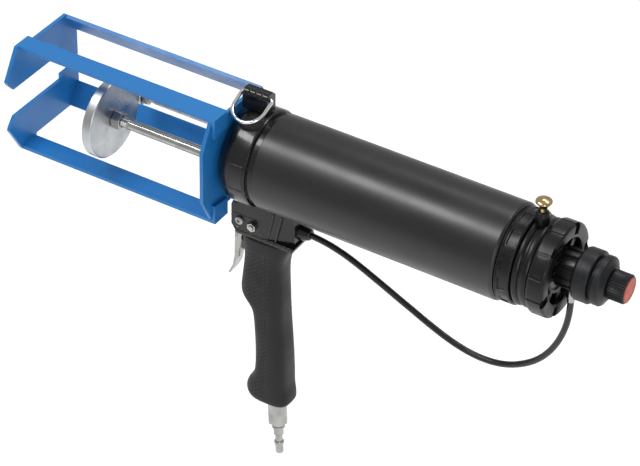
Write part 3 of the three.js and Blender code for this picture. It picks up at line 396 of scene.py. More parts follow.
def grip_plastic():
    finish = Finish("grip_plastic", (0.005, 0.005, 0.005), 0.46)
    finish.shine(0.3)
    axes = finish.nodes.new("ShaderNodeSeparateXYZ")
    finish.links.new(finish.place, axes.inputs["Vector"])
    waves = [
        finish.math("SINE", finish.math("MULTIPLY", axes.outputs[axis], math.pi / (pitch * MM)), 0)
        for axis, pitch in (("X", PIP_PITCH), ("Z", PIP_PITCH * 0.8))]
    pips = finish.limits(finish.math("MULTIPLY", *waves), 0.25, 0.8)
    panel = rectangle(finish, axes, (PANEL_FRONT, PANEL_BACK), (PANEL_BOTTOM, PANEL_TOP))
    strip = rectangle(finish, axes, STRIP_X, STRIP_Z)
    raised = finish.math("MULTIPLY", pips, finish.math("SUBTRACT", panel, strip))
    # The raised pips are tinted a lighter grey: a painted highlight where their tops catch light.
    finish.tint(finish.math("MULTIPLY", raised, 0.7), (0.03, 0.03, 0.03))
    finish.roughen(finish.noise(45, 3), 0.40, 0.54)
    finish.bump(finish.noise(1400, 2), 0.3, 0.1)
    finish.bump(finish.math("SUBTRACT", 1, panel), 1.0, 0.9)
    finish.bump(raised, 1.0, 1.0)
    return finish.material


# %% [markdown]
# ## Metals
# Turned aluminium shows the fine rings that the lathe tool left round the rod's axis. Zinc
# plate is brighter, a little cloudy and scuffed. Chrome and brass are polished, so they show
# the room and need only a breath of roughness and hairline scratches.

# %% Metals
def turned_aluminium():
    finish = Finish("turned_aluminium", (0.50, 0.52, 0.53), 0.3, 1.0)
    mapping = finish.nodes.new("ShaderNodeMapping")
    mapping.inputs["Location"].default_value = (0, -centre_of("main_disc", 1) * MM, 0)
    finish.links.new(finish.place, mapping.inputs["Vector"])
    rings = finish.nodes.new("ShaderNodeTexWave")
    rings.wave_type = "RINGS"
    rings.rings_direction = "X"
    rings.inputs["Scale"].default_value = 420
    rings.inputs["Distortion"].default_value = 0.4
    finish.links.new(mapping.outputs["Vector"], rings.inputs["Vector"])
    finish.tint(finish.limits(finish.noise(40, 4), 0.4, 0.7, 0, 0.5), (0.36, 0.37, 0.38))
    finish.roughen(finish.noise(80, 4), 0.24, 0.4)
    finish.bump(rings.outputs["Fac"], 0.35, 0.05)
    return finish.material


def zinc_plate():
    finish = Finish("zinc_plate", (0.44, 0.44, 0.42), 0.24, 1.0)
    finish.tint(finish.limits(finish.noise(70, 4), 0.42, 0.7, 0, 0.7), (0.25, 0.25, 0.24))
    finish.roughen(finish.noise(140, 4), 0.14, 0.34)
    finish.bump(finish.noise(700, 3), 0.08, 0.02)
    return finish.material


def chrome_plate():
    finish = Finish("chrome_plate", (0.80, 0.81, 0.82), 0.1, 1.0)
    finish.roughen(finish.noise(200, 4), 0.05, 0.16)
    finish.bump(finish.noise(500, 2), 0.04, 0.01)
    return finish.material


def polished_brass():
    finish = Finish("polished_brass", (0.56, 0.42, 0.21), 0.16, 1.0)
    finish.tint(finish.limits(finish.noise(150, 4), 0.5, 0.75, 0, 0.6), (0.34, 0.23, 0.10))
    finish.roughen(finish.noise(180, 4), 0.1, 0.28)
    finish.bump(finish.noise(600, 2), 0.1, 0.05)
    return finish.material


def spring_wire():
    finish = Finish("spring_wire", (0.36, 0.36, 0.37), 0.35, 1.0)
    finish.roughen(finish.noise(300, 3), 0.28, 0.45)
    finish.bump(finish.noise(900, 2), 0.15, 0.05)
    return finish.material


# %% [markdown]
# ## Rubber, hose and the red cap
# Seals are dull rubber, the hose is a smooth polyurethane that shines along its length, and
# the red cap is a soft plastic disc pressed into the knob.

# %% Rubber, hose and cap
def seal_rubber():
    finish = Finish("seal_rubber", (0.013, 0.013, 0.013), 0.7)
    finish.roughen(finish.noise(200, 3), 0.6, 0.8)
    finish.bump(finish.noise(1200, 2), 0.25, 0.08)
    return finish.material


def hose_plastic():
    finish = Finish("hose_plastic", (0.006, 0.006, 0.007), 0.3)
    finish.roughen(finish.noise(60, 3), 0.24, 0.38)
    finish.tint(finish.limits(finish.noise(25, 3), 0.45, 0.7), (0.010, 0.010, 0.010))
    finish.bump(finish.noise(800, 2), 0.15, 0.06)
    return finish.material


def red_plastic():
    finish = Finish("red_plastic", (0.50, 0.055, 0.022), 0.4)
    finish.tint(finish.limits(finish.noise(220, 3), 0.45, 0.7, 0, 0.6), (0.36, 0.035, 0.018))
    finish.roughen(finish.noise(150, 3), 0.34, 0.5)
    finish.bump(finish.noise(1300, 3), 0.3, 0.1)
    return finish.material


BLUE = blue_powder()
GLOSS_BLACK = gloss_black()
SATIN_BLACK = satin_black()
PLASTIC = black_plastic()
KNOB_PLASTIC = knob_plastic()
GRIP_PLASTIC = grip_plastic()
ALUMINIUM = turned_aluminium()
ZINC = zinc_plate()
CHROME = chrome_plate()
BRASS = polished_brass()
SPRING_WIRE = spring_wire()
RUBBER = seal_rubber()
HOSE_PLASTIC = hose_plastic()
RED = red_plastic()
print("materials:", len(bpy.data.materials))

# %% [markdown]
# ## Finishing the parts that stay
# Parts inside the gun, such as the piston, seals and springs, are right as they are and only
# seen when something moves. They keep their meshes and take the finish of their slot.

# %% Finishes for every slot
SLOT_FINISH = {
    "blue_paint": BLUE, "gloss_black": GLOSS_BLACK, "satin_black": SATIN_BLACK,
    "black_plastic": PLASTIC, "grip_plastic": GRIP_PLASTIC, "machined_aluminium": ALUMINIUM,
    "zinc_steel": ZINC, "chrome": CHROME, "spring_steel": SPRING_WIRE, "brass": BRASS,
    "rubber": RUBBER, "red_plastic": RED,
}


def dress_frame():
    slots = {part["node"]: part["material_slot"] for part in frame["record"]["subparts"]}
    for name, node in frame["nodes"].items():
        node.data.materials.clear()
        node.data.materials.append(SLOT_FINISH[slots[name]])
    return slots


SLOTS = dress_frame()
BODY_OF = {
    node: body
    for body, nodes in frame["record"]["behaviour"]["bodies"].items() for node in nodes}

# %% [markdown]
# ## From a bmesh to a piece
# Each new piece ends the same way: doubles merged, faces turned outwards, edges rounded,
# shading split only at sharp corners, and the object tied to the body that it rides on. The
# faces that rounding adds are marked `rub`, and the paints read that mark as edge wear; the
# blue paint also reads it as a painted highlight on the edges.

# %% Piece helpers
def round_edges(bm, width, segments=2, limit=30):
    """Rounds every edge sharper than the limit, and marks the new faces for edge wear and, in the
    blue paint, a painted highlight.
    """
    edges = [
        edge for edge in bm.edges
        if len(edge.link_faces) == 2 and edge.calc_face_angle(0) > math.radians(limit)]
    rub = bm.loops.layers.float.get("rub") or bm.loops.layers.float.new("rub")
    rounded = bmesh.ops.bevel(
        bm, geom=edges, offset=width * MM, segments=segments, profile=0.5, affect="EDGES",
        clamp_overlap=True, material=-1)
    for face in rounded["faces"]:
        for loop in face.loops:
            loop[rub] = 1.0


def link_piece(name, mesh, node, material, sharp=38):
    mesh.shade_smooth()
    mesh.set_sharp_from_angle(angle=math.radians(sharp))
    mesh.materials.clear()
    mesh.materials.append(material)
    piece = bpy.data.objects.new(name, mesh)
    bpy.context.collection.objects.link(piece)
    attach(piece, BODY_OF[node])
    return piece


def piece_from(name, bm, node, material, rounding=0.0, segments=2, replaces=True, flat=True):
    """Turns a bmesh into the piece that stands for a node."""
    bmesh.ops.remove_doubles(bm, verts=bm.verts, dist=1e-6)
    bmesh.ops.recalc_face_normals(bm, faces=bm.faces)
    if rounding:
        round_edges(bm, rounding, segments)
    mesh = bpy.data.meshes.new(name)
    bm.to_mesh(mesh)
    bm.free()
    piece = link_piece(name, mesh, node, material)
    if flat:
        piece.modifiers.new("even_shading", "WEIGHTED_NORMAL").keep_sharp = True
    if replaces:
        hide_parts(node)
    return piece


# %% [markdown]
# ## Turning a profile
# Most of the gun was made on a lathe, or moulded round. `spun` draws half of a section as
# [x, radius] points and turns it once round the X axis with bmesh's spin operator. Edges on the
# axis collapse when doubles are merged, which closes the ends.

# %% The lathe
TURN_STEPS = 144


def spun(profile, steps=TURN_STEPS, closed=False, y=0.0, z=0.0):
    bm = bmesh.new()
    points = [bm.verts.new((x * MM, 0, radius * MM)) for x, radius in profile]
    edges = [bm.edges.new(pair) for pair in zip(points, points[1:])]
    if closed:
        edges.append(bm.edges.new((points[-1], points[0])))
    bmesh.ops.spin(
        bm, geom=points + edges, cent=(0, 0, 0), axis=(1, 0, 0), dvec=(0, 0, 0),
        angle=math.tau, steps=steps, use_merge=True, use_duplicate=False)
    bmesh.ops.remove_doubles(bm, verts=bm.verts, dist=1e-6)
    bmesh.ops.recalc_face_normals(bm, faces=bm.faces)
    bmesh.ops.translate(bm, verts=bm.verts, vec=(0, y * MM, z * MM))
    return bm


def along_z(bm, x):
    """Stands a piece that was turned round X up along Z, at a place along the gun."""
    upright = Matrix.Rotation(-math.pi / 2, 3, "Y")
    bmesh.ops.rotate(bm, verts=bm.verts, cent=(0, 0, 0), matrix=upright)
    bmesh.ops.translate(bm, verts=bm.verts, vec=(x * MM, 0, 0))
    return bm


# %% [markdown]
# ## Pockets on a turned face
# Moulded rings have windows and flats pressed into them. `patch` picks the faces between two
# places along X and two angles round it, and `sink` insets them and moves the middle inwards.
# Angles are in degrees and start at the near side, -Y, and rise towards the top.

# %% Patches and pockets
def angle_of(point, z=0.0):
    return math.degrees(math.atan2(point.z - z * MM, -point.y)) % 360


def patch(bm, x0, x1, start, width, least_radius, z=0.0):
    chosen = []
    for face in bm.faces:
        middle = face.calc_center_median()
        away = (angle_of(middle, z) - start) % 360
        radius = math.hypot(middle.y, middle.z - z * MM)
        if x0 * MM < middle.x < x1 * MM and away < width and radius > least_radius * MM:
            chosen.append(face)
    return chosen


def sink(bm, faces, margin, depth, z=0.0):
    """Insets the faces and moves their middle towards the X axis by a depth."""
    bmesh.ops.inset_region(bm, faces=faces, thickness=margin * MM, use_even_offset=True)
    for vert in {vert for face in faces for vert in face.verts}:
        inward = Vector((0, vert.co.y, vert.co.z - z * MM)).normalized()
        vert.co -= inward * depth * MM


# %% [markdown]
# ## Rounding a flat part
# Sheet and cast parts are already the right shape in the frame, but their corners are knife
# sharp. A copy is merged, its flat triangles are joined into whole faces, and each sharp
# edge is rounded, which is what makes painted metal look like metal.

# %% Rounded copies
def copied(node):
    bm = bmesh.new()
    bm.from_mesh(frame["nodes"][node].data)
    bmesh.ops.remove_doubles(bm, verts=bm.verts, dist=1e-5)
    bmesh.ops.dissolve_limit(bm, angle_limit=math.radians(1), verts=bm.verts, edges=bm.edges)
    return bm


def rounded_copy(node, material, width, segments=2):
    return piece_from(node + "_shell", copied(node), node, material, width, segments)


# %% [markdown]
# ## The cradle
# Two bent plates and four rails hold the cartridges. Sheet that has been cut and folded has a
# small radius on every edge.

# %% Cradle and back plate
rounded_copy("cradle", BLUE, 0.7, 3)
rounded_copy("back_plate", BLUE, 0.6, 3)

# %% [markdown]
# ## The front casting
# The casting closes the cylinder's front and carries the grip. It is a turned ring with a
# rounded shoulder, a narrow groove in front of the tube, and a flat label pad on the near side.

# %% Front casting
def front_casting():
    front, back = reach("front_housing", 0)
    ring = radius_of("front_housing")
    ring_back, neck_back, neck = front + 25, front + 30, BARREL_RADIUS - 2
    bm = spun([
        (front, 0), (front, ring - 7), (front + 0.8, ring - 5.2), (front + 2.4, ring - 3),
        (front + 4.6, ring - 1.2), (front + 7.4, ring - 0.2), (front + 11, ring),
        (ring_back - 2, ring), (ring_back, ring - 1), (ring_back, neck), (neck_back, neck),
        (neck_back, neck - 1.4), (back, neck - 1.4), (back, 0)])
    label = patch(bm, front + 11, ring_back - 2, 347, 34, ring - 2)
    sink(bm, label, 0.3, 0.5)
    return piece_from("front_casting", bm, "front_housing", GLOSS_BLACK, 0.5)


front_casting()

# %% [markdown]
# ## The cylinder tube
# A plain tube, coated satin black. Its rear edge is turned down to meet the rings.

# %% Cylinder tube
def cylinder_tube():
    inner = BARREL_RADIUS - 3
    bm = spun([
        (BARREL_FRONT, inner), (BARREL_FRONT, BARREL_RADIUS - 0.6),
        (BARREL_FRONT + 0.6, BARREL_RADIUS), (BARREL_BACK - 2.4, BARREL_RADIUS),
        (BARREL_BACK - 1.2, BARREL_RADIUS - 0.5), (BARREL_BACK, BARREL_RADIUS - 1.8),
        (BARREL_BACK, inner)], closed=True)
    return piece_from("cylinder_tube", bm, "barrel_tube", SATIN_BLACK)


cylinder_tube()

# %% [markdown]
# ## The rear rings
# Three moulded rings close the cylinder: one with a row of windows, one with two beads, and
# a lock ring with twelve lands that a hand or a hook spanner turns. `sink_back` does for faces
# that look along X what `sink` does for those that look outwards.

# %% Rear rings
WINDOW_COUNT = 12
CASTELLATIONS = (48, 108, 168, 228, 288, 341)  # degrees, where the lock ring's back is slotted


def sink_back(bm, faces, margin, depth):
    """Insets faces that look along X and moves their middle forward into the part."""
    bmesh.ops.inset_region(bm, faces=faces, thickness=margin * MM, use_even_offset=False)
    for vert in {vert for face in faces for vert in face.verts}:
        vert.co.x -= depth * MM


def ring_bore():
    return radius_of("window_ring") - 6.4


def windowed_ring():
    front, back = reach("window_ring", 0)
    outer = radius_of("window_ring")
    bm = spun([
        (front, ring_bore()), (front, outer - 0.8), (front + 0.8, outer), (front + 1.4, outer),
        (front + 1.7, outer - 0.7), (front + 2.3, outer - 0.7), (front + 2.6, outer),
        (front + 3.6, outer), (back - 2.2, outer), (back - 0.8, outer), (back, outer - 0.8),
        (back, ring_bore())], closed=True)
    for count in range(WINDOW_COUNT):
        window = patch(bm, front + 3.6, back - 2.2, 14 + count * 30, 20, outer - 0.4)
        sink(bm, window, 0.35, 1.1)
    return piece_from("windowed_ring", bm, "window_ring", PLASTIC, 0.15, 1)


def beaded_ring():
    front, back = reach("bead_ring", 0)
    outer = radius_of("bead_ring")
    bm = spun([
        (front, ring_bore()), (front, outer - 1.6), (front + 0.8, outer - 0.4),
        (front + 2.2, outer), (front + 3.6, outer - 0.1), (front + 4.8, outer - 0.9),
        (front + 5.2, outer - 2), (front + 6.6, outer - 2), (front + 7, outer - 0.9),
        (front + 8.2, outer - 0.3), (back - 2.6, outer - 0.3), (back - 1, outer - 0.9),
        (back, outer - 2), (back, ring_bore())], closed=True)
    return piece_from("beaded_ring", bm, "bead_ring", PLASTIC, 0.15, 1)


def land_ring():
    front, back = reach("lock_ring", 0)
    outer = radius_of("lock_ring")
    lip = ring_bore() - 4
    face = back - 3.7
    bm = spun([
        (front, ring_bore()), (front, outer - 1.6), (front + 0.9, outer - 0.5),
        (front + 2, outer), (front + 4, outer), (back - 3.4, outer), (back - 1.8, outer),
        (back - 0.6, outer - 1), (back, outer - 2.6), (back, lip + 2.2), (back - 0.7, lip),
        (face, lip), (face, ring_bore())], closed=True)
    for count in range(WINDOW_COUNT):
        groove = patch(bm, front - 1, back - 0.3, 16.5 + count * 30, 2.6, outer - 2.2)
        sink(bm, groove, 0.12, 0.7)
    catch = patch(bm, front + 4, back - 3.4, 22, 23, outer - 0.4)
    sink(bm, catch, 1.2, -0.5)
    for start in CASTELLATIONS:
        slot = [face for face in patch(bm, back - 1.9, back + 0.1, start, 11, lip)
                if math.hypot(*face.calc_center_median().yz) > (lip + 1.5) * MM]
        sink_back(bm, slot, 0.1, 2.6)
    return piece_from("land_ring", bm, "lock_ring", PLASTIC, 0.2, 1)


windowed_ring()
beaded_ring()
land_ring()

# %% [markdown]
# ## The end cap
# The cap's face is set back inside the lock ring. Ribs run out from its middle, with deep
# pockets between them, so that the moulding cools evenly.

# %% End cap
def ribbed_cap():
    front, back = reach("end_cap", 0)
    boss, spigot = ring_bore() - 0.3, radius_of("end_cap")
    bm = spun([
        (front, 0), (front, spigot), (BARREL_BACK, spigot), (BARREL_BACK, boss), (back, boss),
        (back, boss - 2), (back, 18.5), (back, 16), (back - 1.5, 15.6), (back - 1.5, 0)])
    for count in range(8):
        pocket = [
            face for face in patch(bm, back - 0.1, back + 0.1, 10 + count * 45, 30, 18.6)
            if abs(face.normal.x) > 0.9
            and math.hypot(*face.calc_center_median().yz) < (boss - 2) * MM]
        sink_back(bm, pocket, 0.4, 4)
    return piece_from("ribbed_cap", bm, "end_cap", PLASTIC, 0.2, 1)


ribbed_cap()

# %% [markdown]
# ## The bleed button
# A brass mushroom stands in a short black collar on the bead ring. Pressing it lets air out of
# the cylinder. Both are turned pieces stood upright.

# %% Bleed button and collar
def bleed_parts():
    x = centre_of("bleed_collar", 0)
    low, high = reach("bleed_collar", 2)
    bm = spun([
        (low, 3.3), (low, 5.4), (high - 3.2, 5.4), (high - 2.4, 4.9), (high - 0.8, 4.7),
        (high, 4.1), (high, 3.3)], 64, closed=True)
    piece_from("bleed_sleeve", along_z(bm, x), "bleed_collar", PLASTIC, 0.15, 1)
    low, high = reach("bleed_button", 2)
    head = radius_of("bleed_button")
    bm = spun([
        (low, 0), (low, 2.4), (low + 0.6, 3), (high - 8.5, 3), (high - 6.6, 3.3),
        (high - 5.2, 4.4), (high - 4.2, head - 0.7), (high - 3.3, head - 0.1),
        (high - 2.6, head), (high - 1.8, head - 0.4), (high - 1, head - 1.8),
        (high - 0.35, head - 3.6), (high, 0)], 64)
    piece_from("bleed_mushroom", along_z(bm, x), "bleed_button", BRASS)


bleed_parts()

# %% [markdown]
# ## The regulator
# A splined shank screws into the cap. Behind it sit a chamfered collar, a stepped ring and a
# knurled knob with a red cap. The splines are grooves sunk between ribs.

# %% Regulator body, collar and ring
SPLINE_COUNT = 12


def splined_shank():
    front, back = reach("regulator_body", 0)
    outer = radius_of("regulator_body")
    spline_front = front + 12.6
    spline_back = reach("regulator_collar", 0)[0] - 0.3
    bm = spun([
        (front, 0), (front, outer - 1.8), (spline_front, outer - 1.8), (spline_front, outer - 0.5),
        (spline_front + 0.6, outer), (spline_back, outer), (spline_back, 9.8), (back, 9.8),
        (back, 0)], 144)
    pitch = 360 / SPLINE_COUNT
    for count in range(SPLINE_COUNT):
        groove = patch(bm, spline_front + 0.5, spline_back + 0.1, count * pitch, 12.6, outer - 0.6)
        sink(bm, groove, 0.2, 1.5)
    bmesh.ops.translate(bm, verts=bm.verts, vec=(0, 0, REGULATOR_Z * MM))
    return piece_from("splined_shank", bm, "regulator_body", PLASTIC, 0.2, 1)


def chamfered_collar():
    front, back = reach("regulator_collar", 0)
    outer = radius_of("regulator_collar")
    bm = spun([
        (front, 10.3), (front, outer - 3), (front + 1.4, outer - 0.9), (front + 3, outer),
        (back - 1, outer), (back - 0.3, outer - 0.5), (back, outer - 1.4), (back, 10.3)],
        closed=True, z=REGULATOR_Z)
    return piece_from("chamfered_collar", bm, "regulator_collar", KNOB_PLASTIC)


def stepped_ring():
    front, back = reach("gauge_ring", 0)
    outer, knob = radius_of("gauge_ring"), radius_of("adjust_knob")
    bm = spun([
        (front, 4.4), (front, outer - 2.4), (front + 2.2, outer - 2.4), (front + 2.4, outer - 0.6),
        (front + 3, outer), (front + 7, outer), (front + 8, outer - 0.7), (front + 9, outer - 3.2),
        (back - 0.8, knob + 2.6), (back, knob + 1.8), (back, 4.4)], closed=True, z=REGULATOR_Z)
    return piece_from("stepped_ring", bm, "gauge_ring", KNOB_PLASTIC)


splined_shank()
chamfered_collar()
stepped_ring()

# %% [markdown]
# ## The knurled knob
# Fine straight ridges give wet fingers a hold. The knob is turned in short steps, and of every
# four points round it one stays out, two lie halfway in and one lies at the ridge's foot.

# %% Knob and red cap
KNURL_RIDGES = 40
KNURL_DEPTHS = (0, 0.4, 0.8, 0.4)


def knurled_knob():
    front, back = reach("adjust_knob", 0)
    outer = radius_of("adjust_knob")
    steps = KNURL_RIDGES * len(KNURL_DEPTHS)
    bm = spun([
        (front, 4.2), (front, outer - 1), (front + 1, outer), (back - 1.4, outer),
        (back - 0.5, outer - 0.9), (back, outer - 1.2), (back, outer - 1.7),
        (back - 1.1, outer - 1.7), (back - 1.1, 0), (back - 5, 0), (back - 5, 4.2)],
        steps, closed=True)
    for vert in bm.verts:
        if math.hypot(*vert.co.yz) > (outer - 0.1) * MM:
            column = round(angle_of(vert.co) / 360 * steps)
            vert.co.yz = vert.co.yz * (1 - KNURL_DEPTHS[column % len(KNURL_DEPTHS)] / outer)
    bmesh.ops.translate(bm, verts=bm.verts, vec=(0, 0, REGULATOR_Z * MM))
    return piece_from("knurled_knob", bm, "adjust_knob", KNOB_PLASTIC, flat=False)


def domed_cap():
    front, back = reach("red_cap", 0)
    outer = radius_of("red_cap")
    bm = spun([
        (front, 0), (front, outer), (back - 0.5, outer), (back - 0.2, outer - 0.5),
        (back - 0.05, outer - 1.6), (back - 0.3, outer - 2.1), (back - 0.1, 2), (back, 0)],
        96, z=REGULATOR_Z)
    return piece_from("domed_cap", bm, "red_cap", RED)


knurled_knob()
domed_cap()

# %% [markdown]
# ## The plunger
# Air pushes the piston, and two plated rods carry two aluminium discs that press on the
# cartridges. The threads on the rods' ends are a row of small ridges.

# %% Discs, rods and nuts
THREAD_PITCH = 1.2
ROD_STEPS = 64


def ridges(x0, x1, low, high, pitch):
    """A profile of thread ridges between two places."""
    count = int((x1 - x0) / pitch)
    points = []
    for turn in range(count):
        start = x0 + turn * (x1 - x0) / count
        points += [(start, low), (start + pitch / 2, high)]
    return points + [(x1, low)]


def pressing_disc(node, bore):
    front, back = reach(node, 0)
    outer = radius_of(node)
    y, z = centre_of(node, 1), centre_of(node, 2)
    bm = spun([
        (front, bore), (front, outer - 0.9), (front + 0.9, outer), (back - 0.9, outer),
        (back, outer - 0.9), (back, bore)], closed=True, y=y, z=z)
    return piece_from(node + "_turned", bm, node, ALUMINIUM, 0.25, 2)


def threaded_rod(node, nut, depth):
    front, back = reach(node, 0)
    outer = radius_of(node)
    y, z = centre_of(node, 1), centre_of(node, 2)
    thread_end = reach(nut, 0)[1] + 5
    root = outer - depth
    bm = spun([
        (front, 0), (front, root - 0.4),
        *ridges(front + 0.5, thread_end, root - 0.2, outer - 0.25, THREAD_PITCH),
        (thread_end + 0.5, outer), (back - 24, outer), (back - 24, root), (back, root), (back, 0)],
        ROD_STEPS, y=y, z=z)
    return piece_from(node + "_plated", bm, node, ZINC, flat=False)


pressing_disc("main_disc", 4.3)
pressing_disc("small_disc", 3)
threaded_rod("main_rod", "main_disc_nut", 0.6)
threaded_rod("small_rod", "small_disc_nut", 0.5)
for nut in ("main_disc_nut", "small_disc_nut"):
    rounded_copy(nut, ZINC, 0.5, 2)

# %% [markdown]
# ## The handle head
# The head is cast in one piece, saddled under the cylinder, with thick rounded corners. On each
# side a pad carries the screws, and two leaning ribs behind it stiffen the wall. A skirt meets
# the grip, and a short boss holds the hose. Each is a stretched or leaned cube, or a turned
# piece, sunk a little into the head, which costs less than cutting them all from one block.

# %% Handle head
PAD_RISE = 0.25  # how far the screw pads stand out of the head's sides
RIB_PLACES = (35.5, 42.5)
SKIRT_HALF = 14.3


def block(low, high):
    """A bmesh cube stretched between two corners, in millimetres."""
    bm = bmesh.new()
    bmesh.ops.create_cube(bm, size=1)
    size = Vector(high) - Vector(low)
    bmesh.ops.scale(bm, verts=bm.verts, vec=size * MM)
    bmesh.ops.translate(bm, verts=bm.verts, vec=(Vector(low) + Vector(high)) / 2 * MM)
    return bm


def slanted(bm, shift):
    """Leans a block: its top moves along X by a shift in millimetres."""
    middle = sum((vert.co.z for vert in bm.verts)) / len(bm.verts)
    for vert in bm.verts:
        if vert.co.z > middle:
            vert.co.x += shift * MM
    return bm


def head_piece(name, bm, rounding):
    return piece_from(name, bm, "handle_head", GLOSS_BLACK, rounding, 3, replaces=False)


def leaned_box(x, z, lean, y):
    """A box between two X places and two heights, whose top leans along X, on the near side."""
    return slanted(block((x[0], y[0], z[0]), (x[1], y[1], z[1])), lean)


def head_details():
    low, high = reach("handle_head", 2)
    face = reach("handle_head", 1)[0]
    back = reach("handle_head", 0)[1]
    pads = {"near": (face - PAD_RISE, face + 2), "far": (-face - 2, -face + PAD_RISE)}
    for side, y in pads.items():
        bm = leaned_box((6.5, 31.5), (low + 6.5, low + 19.5), 0, y)
        head_piece("screw_pad_" + side, bm, 0.24)
    for count, x in enumerate(RIB_PLACES):
        for side in (-1, 1):
            y = sorted((side * 9.5, side * 13.4))
            bm = leaned_box((x, x + 1.8), (low + 2, high - 4), 6, y)
            head_piece("head_rib_%d_%s" % (count, "near" if side < 0 else "far"), bm, 0.5)
    bm = leaned_box((7, back + 1), (low + 0.2, low + 4.4), 1.2, (-SKIRT_HALF, SKIRT_HALF))
    head_piece("head_skirt", bm, 1.2)
    bm = spun([
        (back - 6, 0), (back - 6, 7), (back - 1, 7), (back + 4, 6.2), (back + 8.6, 4.6),
        (back + 9.4, 3.9), (back + 9.4, 0)], 48, z=centre_of("handle_hose_fitting", 2))
    head_piece("hose_boss", bm, 0.3)


rounded_copy("handle_head", GLOSS_BLACK, 1.1, 3)
head_details()

# %% [markdown]
# ## Screws in the head
# A cross-recessed screw and a through bolt with its nut hold the two halves of the head.

# %% Screws
for fastener in ("handle_screw", "handle_bolt", "handle_nut"):
    rounded_copy(fastener, ZINC, 0.25, 2)

# %% [markdown]
# ## The grip
# The grip swells at the heel, has a bump under the first finger and a tang at the top. Its
# rings are squarish circles, joined one above the other and smoothed by subdivision. Each
# line below is a height above the grip's foot, a place along X and two half sizes.

# %% Grip
GRIP_RINGS = 28
GRIP_SECTIONS = [
    (7.0, 36.2, 14.5, 11.0), (7.2, 36.0, 16.8, 12.8), (9.0, 35.2, 18.6, 13.7),
    (12.5, 34.2, 19.5, 14.0), (17.0, 33.7, 19.6, 14.0), (23.0, 33.9, 18.2, 14.0),
    (29.0, 35.8, 16.0, 14.0), (36.0, 37.3, 14.2, 13.9), (59.0, 36.8, 13.8, 13.4),
    (89.0, 34.6, 13.6, 13.0), (98.0, 33.4, 14.4, 13.2), (104.0, 30.2, 17.4, 13.3),
    (110.0, 28.0, 19.6, 13.4), (120.0, 28.0, 19.2, 13.4), (143.0, 29.0, 17.0, 13.0),
    (155.0, 30.5, 18.6, 13.4), (162.0, 31.3, 21.0, 13.9), (167.6, 31.5, 21.6, 14.0),
    (168.7, 31.5, 21.6, 14.0)]


def shape_ring(verts, height, x, half_x, half_y):
    for vert in verts:
        angle = math.atan2(vert.co.y, vert.co.x)
        c, s = math.cos(angle), math.sin(angle)
        vert.co.x = (x + half_x * math.copysign(abs(c) ** 0.62, c)) * MM
        vert.co.y = half_y * math.copysign(abs(s) ** 0.62, s) * MM
        vert.co.z = height * MM


def applied(piece):
    """Makes a piece's modifiers part of its mesh."""
    depsgraph = bpy.context.evaluated_depsgraph_get()
    mesh = bpy.data.meshes.new_from_object(piece.evaluated_get(depsgraph))
    piece.modifiers.clear()
    piece.data = mesh
    return piece


def cut_away(piece, tool_bm):
    """Cuts a bmesh out of a piece with an exact Boolean, then drops the tool."""
    mesh = bpy.data.meshes.new("tool")
    tool_bm.to_mesh(mesh)
    tool_bm.free()
    tool = bpy.data.objects.new("tool", mesh)
    bpy.context.collection.objects.link(tool)
    boolean = piece.modifiers.new("cut", "BOOLEAN")
    boolean.object = tool
    boolean.solver = "EXACT"
    applied(piece)
    bpy.data.objects.remove(tool)


def moulded_grip():
    foot = reach("grip", 2)[0]
    bm = bmesh.new()
    for count, (rise, x, half_x, half_y) in enumerate(GRIP_SECTIONS):
        ring = bmesh.ops.create_circle(bm, segments=GRIP_RINGS, radius=1)["verts"]
        shape_ring(ring, foot + rise, x, half_x, half_y)
        edges = [edge for edge in bm.edges if edge.verts[0] in ring and edge.verts[1] in ring]
        if count:
            bmesh.ops.bridge_loops(bm, edges=last + edges)
        last = edges
    bmesh.ops.holes_fill(bm, edges=bm.edges, sides=GRIP_RINGS)
    piece = piece_from("moulded_grip", bm, "grip", GRIP_PLASTIC, flat=False)
    smooth = piece.modifiers.new("smooth", "SUBSURF")
    smooth.levels = smooth.render_levels = 2
    applied(piece)
    low, high = reach("trigger", 2)
    cut_away(piece, block((-20, -7, low - 6), (17, 7, high + 5)))
    piece.data.shade_smooth()
    piece.data.set_sharp_from_angle(angle=math.radians(38))
    return piece


moulded_grip()

# %% [markdown]
# ## Trigger
# The lever is folded from thin plated sheet, so its edges are only just broken.

# %% Trigger
rounded_copy("trigger", ZINC, 0.35, 2)

# %% [markdown]
# ## The air inlet
# A zinc hexagon screws into the grip's foot and carries a quick-connect plug. Both lean back
# three degrees, so the plug is turned round X first and then swung down round Y. The hexagon
# is a copy whose top is moved up to the grip, which ends a little higher than in the frame.

# %% Inlet adapter and plug
INLET_X = 39.6
INLET_SWING = math.radians(87)
HEXAGON_TOP, HEXAGON_RISE = 3.5, 6.2


def inlet_plug():
    start, length = 21.2, 28.8
    bm = spun([
        (start, 2.4), (start, 5), (start + 0.4, 5.4), (start + 2.2, 5.4), (start + 2.6, 5),
        (start + 3.2, 4.1), (start + 9.5, 4.1), (start + 10.6, 2.95), (start + 16, 2.95),
        (start + 17, 3.9), (start + 17.6, 4.05), (start + 19.6, 4.05), (start + 20.2, 3.8),
        (start + 21.4, 3.3), (start + length - 0.6, 3.3), (start + length, 2.8),
        (start + length, 2.4)], 64, closed=True)
    bmesh.ops.rotate(
        bm, verts=bm.verts, cent=(0, 0, 0), matrix=Matrix.Rotation(INLET_SWING, 3, "Y"))
    foot = reach("grip", 2)[0]
    bmesh.ops.translate(bm, verts=bm.verts, vec=(INLET_X * MM, 0, foot * MM))
    return piece_from("inlet_plug", bm, "inlet_nipple", ZINC)


